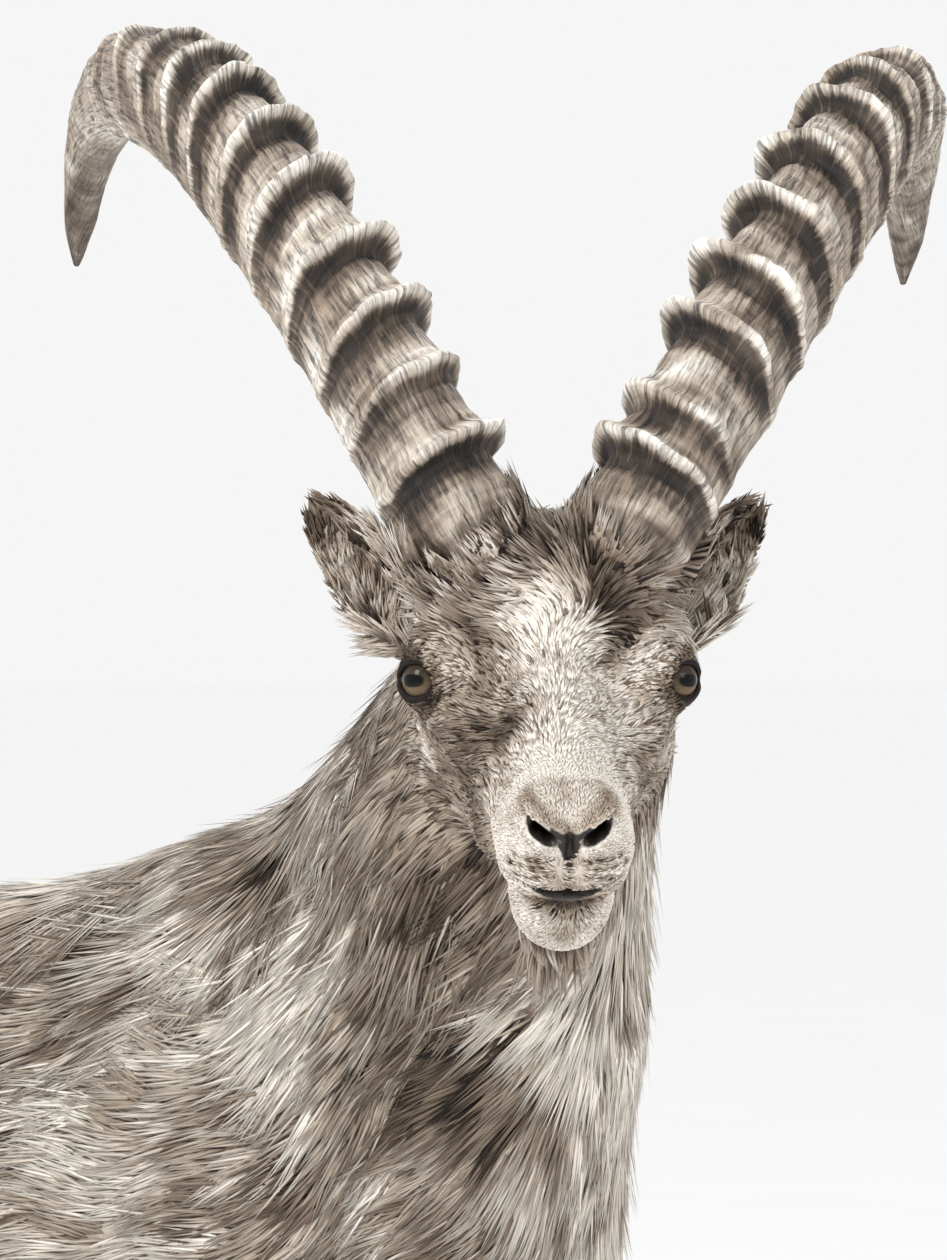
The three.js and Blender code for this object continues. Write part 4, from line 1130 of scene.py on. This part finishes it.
def ear_shape(side, steps=40, fan=22):
    """The ear's rings: a rolled blade that opens into a cup and closes to a point."""
    turn, base = ear_frame(side)
    rings = []
    for t in np.arange(steps + 1) / steps:
        half = 25 * math.sin(math.pi * mix(0.22, 0.95, t)) ** 0.6
        arc = float(mix(2.5, 1.15, smooth(0, 0.75, t)))
        radius = half / math.sin(min(arc, math.pi / 2))
        angles = np.linspace(-arc, arc, fan + 1)
        # The outer side, and then back along the inner side
        angles = np.concatenate([angles, angles[::-1]])
        radii = np.repeat([radius, radius - mix(3.2, 1.3, t)], fan + 1)
        height = radius * 0.55 - radii * np.cos(angles) - 10 * t * t
        rings.append(np.column_stack([np.full(len(angles), EAR_LENGTH * t), radii * np.sin(angles), height]))
    return out_of_level_head(np.array(rings) @ turn.T + base)


def dress_ear(name, side):
    turn, base = ear_frame(side)
    rings = ear_shape(side)
    points, faces = loft(rings)
    around = rings.shape[1]
    inside_row = np.zeros(len(points), bool)
    inside_row[1:-1] = np.tile(np.arange(around) >= around // 2, len(rings))
    skin_shade = ramp(np.where(inside_row, 0.62, 0.42) + 0.08 * waves(points, 30, 12))
    ear = make_mesh(f"ear_skin_{name}", points, faces, hide, colours=skin_shade,
                    amounts={"Bare": np.full(len(points), -5.0)})
    place_piece(ear, "ear_coat", f"ear_{name}")

    def into_ear(p):
        return ((p - HEAD_AT) @ HEAD_LEVEL - base) @ turn

    roots, normals = scatter(points, faces, lambda p: np.full(len(p), 2.5), 60 + side)
    along, across, opening = (HEAD_LEVEL @ turn).T
    spot = into_ear(roots)
    share = spot[:, 0] / EAR_LENGTH
    inner = (normals @ opening > 0.15) & (np.abs(spot[:, 1]) < 24)
    rim = np.abs(spot[:, 1]) > 16
    lie = along + np.where(inner[:, None], -0.35 * np.sign(spot[:, [1]]) * across, 0)
    dark_patch = 0.5 * bump(share, 0.5, 0.2) * bump(spot[:, 1], 2, 8) + 0.5 * bump(share, 0.88, 0.12)
    looks = dict(
        length=(15 + 9 * smooth(0.5, 0.1, share), 9.0),
        width=(2.4, 2.2),
        rise=(0.22, 0.12),
        stray=(0.34, 0.16),
        tone=(0.80 - dark_patch, 0.48 + 0.2 * rim - 0.3 * smooth(0.8, 0.95, share)),
        contrast=(0.14, 0.08),
        dark=(0.5, 0.2),
    )
    look = {key: np.where(inner, within, outside) for key, (within, outside) in looks.items()}

    def atlas(p):
        along_it, across_it, _ = into_ear(p).T
        u = 0.25 + 0.007 * across_it + 0.5 * inner
        return np.column_stack([u, 0.03 + 0.94 * np.clip(along_it / EAR_LENGTH, 0, 1)])

    tufts = grow(f"coat_ear_{name}", roots, normals, lie, dict(look, thick=0.7, gather=0.5), hair_fine, atlas,
                 seed=90 + side)
    place_piece(tufts, "ear_coat")


for name, side in SIDES.items():
    dress_ear(name, side)


# Beard: a short, wispy tuft under the chin
def beard(count=420):
    random = np.random.default_rng(5)
    q = np.column_stack([random.uniform(104, 150, count), random.normal(0, 12, count), np.full(count, -66.0)])
    for _ in range(12):
        q[:, 2] -= np.maximum(-head_masses(q) - 2, -8) * 0.8
    forward, sideways, _ = HEAD_LEVEL.T
    chin_normals = unit(forward + 0.02 * q[:, [1]] * sideways)
    chin_roots = out_of_head(q) - chin_normals * 3
    middle = bump(q[:, 1], 0, 13) * bump(q[:, 0], 118, 18)
    look = dict(length=14 + 46 * middle, width=2.4, thick=0.8, rise=-0.08, stray=0.14, gather=0.7,
                tone=0.66 - 0.10 * middle, contrast=0.12)
    down = np.tile([0.0, 0, -1], (count, 1))
    tufts = grow("coat_beard", chin_roots, chin_normals, down, look, hair_long, head_atlas, 7, segments=3)
    place_piece(tufts, "face_coat")


beard()


# Horns
HORN_SQUARENESS = 2.6  # 2 would make its sections round


def horn_ridges(s, side):
    """How high the rounded collars are at a distance along the horn, and how much painted shade lies in the
    hollows under them.
    """
    height = np.zeros_like(s)
    shade_under_ridge = np.zeros_like(s)
    for at, amount in zip(RIDGES_AT[side], RIDGE_SIZES):
        off = s - at
        slope = np.exp(-np.abs(off / np.where(off > 0, RIDGE["above"], RIDGE["below"])) ** 2.3)
        dips = 0.22 * bump(off, -12, 8) + 0.06 * bump(off, -26, 12)
        height += amount * (slope + 0.24 * bump(off, 5, 9) - dips)
        shade_under_ridge += amount * smooth(-2.5, -5.0, off) * smooth(-34, -6, off)
    return height, shade_under_ridge


def horn_lines(side):
    """Where the horn's rings of points lie along it: close together at the ridges."""
    rows = [np.arange(-26, HORN_LENGTH[side], 3.4)]
    for at in RIDGES_AT[side]:
        rows.append(np.arange(at - 13, at + 12, 1.1))
    rows = np.unique(np.concatenate(rows))
    keep = np.concatenate([[True], np.diff(rows) > 0.45])
    return np.append(rows[keep][:-1], HORN_LENGTH[side])


def horn_mesh(name, side, around=108):
    path = horn_path(side)
    length = HORN_LENGTH[side]
    along = horn_lines(side)
    c, s = np.cos(circle(around))[None], np.sin(circle(around))[None]
    # A ring runs lower on the outer side than in front, more so further up
    slant = np.clip(0.05 + 0.0055 * along, 0.15, 2.2) * (1 - 0.6 * smooth(460, 700, along))
    slant = slant * smooth(-20, 30, along)
    true = along[:, None] - slant[:, None] * (12 * s + 8 * (1 - c)) * smooth(0, 40, length - along)[:, None]
    grain = np.stack(np.broadcast_arrays(36 * c, 36 * s, along[:, None]), axis=-1).reshape(-1, 3)

    def waving(stretch, wave_length, seed):
        return waves(grain * stretch, wave_length, seed + side).reshape(true.shape)

    spots = np.arange(len(path)) / (len(path) - 1) * length
    centre = read_between(true, spots, path)
    tangent = unit(np.gradient(path, axis=0))
    tangent[0] = unit(path[2] - path[0])
    tangent = unit(read_between(true, spots, tangent))
    centre += tangent * np.minimum(true, 0)[..., None]
    front = np.array([1.0, -0.25 * side, 0.9])
    front = unit(front - tangent * (tangent @ front)[..., None])
    across = unit(np.cross(tangent, front)) * side
    share = np.clip(true / length, 0, 1)
    size = 0.05 + 0.95 * (1 - share ** 4.5) ** 0.85 * mix(1, 0.86, smooth(0.3, 0.9, share))
    size = size * mix(0.6, 1, smooth(-32, 0, true))
    patchy = waving([1, 1, 0.6], 40, 52)
    growth = waving([0.16, 0.16, 1], 9, 33)
    fibre = waving([1, 1, 0.07], 8, 30)
    flat = 1 / (np.abs(c) ** HORN_SQUARENESS + np.abs(s) ** HORN_SQUARENESS) ** (1 / HORN_SQUARENESS)
    narrow = mix(1, 0.72, smooth(0.1, 1, -c))
    # A ridge is highest at a knob on the inner edge, and fades at the horn's outer edge and its back
    facing = smooth(-0.75, 0.3, c) * (1 - 0.75 * smooth(0.55, 1, s))
    knob = 1 + 0.35 * np.maximum(0, 0.616 * c - 0.788 * s) ** 10
    shape, shade_under_ridge = horn_ridges(along[:, None] + 1.8 * waving(1, 34, 50), side)
    ridge = RIDGE["height"] * shape * mix(0.06, 1, facing) * knob * size * (1 + 0.10 * patchy)
    rough = 0.5 * fibre + 0.5 * growth * mix(0.5, 1, facing) + 0.6 * patchy
    rough = rough * mix(0.3, 1, 1 - smooth(0.72, 0.92, share))
    deep = (HORN_HALF_DEPTH * size * flat + ridge + rough) * c
    wide = (HORN_HALF_WIDTH * size * flat * narrow + ridge + rough) * s
    points = centre + front * deep[..., None] + across * wide[..., None]
    points, faces = loft(out_of_level_head(points), last=out_of_level_head(path[-1:])[0])
    # Painted light: the hollow under each ridge is painted darker as shade, most on the front, and the crests
    # are painted lighter, partly from wear and partly as a highlight
    crest = np.clip(shape, 0, 1) * facing
    shade_under_ridge = np.clip(shade_under_ridge, 0, 1) * mix(0.2, 1, smooth(-0.75, 0.3, c))
    tone = 0.61 + 0.20 * crest - 0.46 * shade_under_ridge + 0.08 * growth + 0.11 * patchy
    tone = tone - 0.14 * smooth(0.72, 1.0, share) - 0.08 * (1 - smooth(0, 30, true))
    tone = np.concatenate([[0.3], tone.ravel(), [0.2]])
    grain = np.vstack([[0, 0, along[0]], grain, [0, 0, length]])
    shade_under_ridge = np.concatenate([[0], shade_under_ridge.ravel(), [0]])
    piece = make_mesh(name, points, faces, horn_mat, colours=ramp(tone) * [0.90, 0.93, 0.97],
                      vectors={"Grain": grain}, amounts={"Hollow": shade_under_ridge})
    place_piece(piece, "horn", name.replace("sheath_", "horn_"))


for name, side in SIDES.items():
    horn_mesh(f"sheath_{name}", side)


# Eyes
IRIS = np.array([0.088, 0.060, 0.034])
IRIS_EDGE = np.array([0.020, 0.012, 0.008])
EYE_WHITE = np.array([0.05, 0.038, 0.032])
PUPIL = np.array([0.0005, 0.0005, 0.0006])


def eye_mesh(name, side, rings=64, around=96):
    middle, look_way, level, up = eye_frame(side)
    away = [np.linspace(0.004, 0.95, rings * 3 // 4), np.linspace(1.0, math.pi - 0.02, rings // 4)]
    away = np.concatenate(away)
    angle = circle(around)
    u = np.sin(away)[:, None] * np.cos(angle) * EYE_RADIUS
    v = np.sin(away)[:, None] * np.sin(angle) * EYE_RADIUS
    bulge = EYE_RADIUS * np.cos(away) + 1.1 * np.exp(-((away / 0.55) ** 4))
    points = middle + u[..., None] * level + v[..., None] * up + bulge[:, None, None] * look_way
    points, faces = loft(out_of_head(points))
    reach = np.hypot(u, v)
    colour = mix(IRIS, IRIS_EDGE, smooth(9.0, 13.0, reach)[..., None])
    colour = mix(colour, EYE_WHITE, smooth(13.6, 14.8, reach)[..., None])
    # Painted shade from the upper lid: the iris is darker at its top and lighter at its bottom
    colour = colour * mix(1.35, 0.4, smooth(-7, 7, v))[..., None]
    pupil = (np.abs(u) / 7.6) ** 2.6 + (np.abs(v) / 3.9) ** 2.6
    colour = mix(PUPIL, colour, smooth(0.7, 1.3, pupil)[..., None])
    colour[away > 1.15] = EYE_WHITE
    colours = np.vstack([[[0.002] * 3], colour.reshape(-1, 3), [EYE_WHITE]])
    spokes = np.stack(np.broadcast_arrays(np.cos(angle), np.sin(angle), away[:, None]), axis=-1)
    spokes = np.vstack([[[0, 0, 0]], spokes.reshape(-1, 3), [[0, 0, 3]]])
    piece = make_mesh(name, points, faces, eye_mat, colours=colours, vectors={"Grain": spokes})
    place_piece(piece, "eye", name.replace("eyeball", "eye"))


def lid_rim(name, side, around=72, section=10):
    """The dark, moist edge of the lids: a thin roll round the opening, drawn out at its back."""
    middle, look_way, level, up = eye_frame(side)
    angle = circle(around)
    across = LID_OPENING[0] * np.cos(angle) * (1 + 0.16 * smooth(0.6, 1, side * np.cos(angle)))
    high = LID_OPENING[1] * np.sin(angle) * mix(1, 0.8, smooth(0.5, 1, np.abs(np.cos(angle))))
    out = np.sqrt(np.maximum((EYE_RADIUS + 1.3) ** 2 - across ** 2 - high ** 2, 9))
    line = middle + across[:, None] * level + high[:, None] * up + out[:, None] * look_way
    normal = unit(line - middle)
    tangent = unit(np.roll(line, -1, axis=0) - np.roll(line, 1, axis=0))
    side_way = np.cross(tangent, normal)
    turn = circle(section)
    girth = 2.4 - 0.2 * np.sin(angle)
    ring = (line[:, None] + (girth[:, None] * np.cos(turn))[..., None] * side_way[:, None]
            + (0.8 * girth[:, None] * np.sin(turn))[..., None] * normal[:, None])
    points = out_of_head(ring.reshape(-1, 3))
    i, j = np.meshgrid(np.arange(around), np.arange(section), indexing="ij")
    i2, j2 = (i + 1) % around, (j + 1) % section
    faces = np.stack([i * section + j, i2 * section + j, i2 * section + j2, i * section + j2], axis=-1)
    piece = make_mesh(name, points, faces.reshape(-1, 4), rim_mat)
    place_piece(piece, "face_coat")


for name, side in SIDES.items():
    eye_mesh(f"eyeball_{name}", side)
    lid_rim(f"lid_rim_{name}", side)


# Hooves, and dewclaws: two small horn nubs behind each fetlock
def hoof_mesh(name, shape, reach, step, *nodes):
    """A piece of hoof horn, flat where it meets the floor, sampled from low to high along each axis."""
    lines = [np.arange(low, high, step) for low, high in reach]
    points, faces = surface_mesh(lambda p: np.maximum(shape(p), -p[:, 2]), lines)
    points[:, 2] = np.maximum(points[:, 2], 0)
    place_piece(make_mesh(name, points, faces, hoof_mat), "hoof", *nodes)


def hooves(foot, side, x):
    for toe in (-1, 1):
        y = FOOT_SPREAD * side + TOE_SPREAD * toe
        place = "outer" if toe == side else "inner"
        shape = blend(10, limb([x - 26, y, 14], [x + 24, y, 6], 15, 11),
                      limb([x - 16, y, 34], [x + 8, y, 22], 14.5, 12.5))
        reach = [(x - 48, x + 44), (y - 20, y + 20), (-4, 56)]
        hoof_mesh(f"horn_shoe_{foot}_{place}", shape, reach, 2.0, f"{foot.replace('_', 'hoof_')}_{place}")


def dewclaws(foot, side, x, middle_y):
    for place, off in (("inner", -15), ("outer", 15)):
        y = (middle_y + off) * side
        reach = [(x - 18, x + 24), (y - 14, y + 14), (68, 114)]
        hoof_mesh(f"dewclaw_{foot}_{place}", limb([x + 8, y, 98], [x - 4, y, 82], 9, 6), reach, 1.6)


for make, places in ((hooves, [(FORE_FOOT_X,), (HIND_FOOT_X,)]), (dewclaws, [(0, 84), (-760, 82)])):
    for end, place in zip(("fore", "hind"), places):
        for name, side in SIDES.items():
            make(f"{end}_{name}", side, *place)


# Studio
FLOOR_RADIUS = 90  # metres


def build_floor():
    bpy.ops.mesh.primitive_circle_add(
        vertices=96, radius=FLOOR_RADIUS, fill_type="NGON", location=(0, 0, 0))
    floor = bpy.context.object
    floor.name = "studio_floor"
    floor.data.materials.append(floor_mat)


def aim(thing, place, target):
    thing.location = place
    thing.rotation_euler = (Vector(target) - Vector(place)).to_track_quat("-Z", "Y").to_euler()


def soft_light(name, place, size, power, target=(0.2, -0.1, 0.9)):
    data = bpy.data.lights.new(name, "AREA")
    data.shape = "SQUARE"
    data.size = size
    data.energy = power
    aim(new_object(name, data), place, target)


def build_camera():
    right = Vector((math.cos(CAMERA_AZIMUTH), math.sin(CAMERA_AZIMUTH), 0))
    back = Vector((math.sin(CAMERA_AZIMUTH), -math.cos(CAMERA_AZIMUTH), 0))
    off_x = (PHOTO_EYES_AT[0] - PHOTO_SIZE[0] / 2) * MM_PER_PIXEL / 1000
    off_z = (PHOTO_EYES_AT[1] - PHOTO_SIZE[1] / 2) * MM_PER_PIXEL / 1000
    target = Vector(to_model(HEAD_AT)) - right * off_x + Vector((0, 0, off_z))
    data = bpy.data.cameras.new("camera")
    data.sensor_fit = "VERTICAL"
    data.sensor_height = 24
    data.lens = 24 * CAMERA_DISTANCE * 1000 / (PHOTO_SIZE[1] * MM_PER_PIXEL)
    data.clip_end = 200
    camera = new_object("camera", data)
    aim(camera, target + back * CAMERA_DISTANCE, target)
    bpy.context.scene.camera = camera


def build_world():
    world = bpy.data.worlds.new("studio")
    world.use_nodes = True
    background = world.node_tree.nodes["Background"]
    background.inputs["Color"].default_value = (0.97, 0.97, 0.97, 1)
    background.inputs["Strength"].default_value = 0.95
    bpy.context.scene.world = world
    bpy.context.scene.view_settings.view_transform = "Standard"


build_floor()
soft_light("key", (-0.9, -3.4, 3.4), 1.6, 120)
soft_light("side", (3.4, -1.4, 2.2), 1.4, 25)
soft_light("rim", (0.2, 2.9, 2.9), 1.8, 60)
build_world()
build_camera()
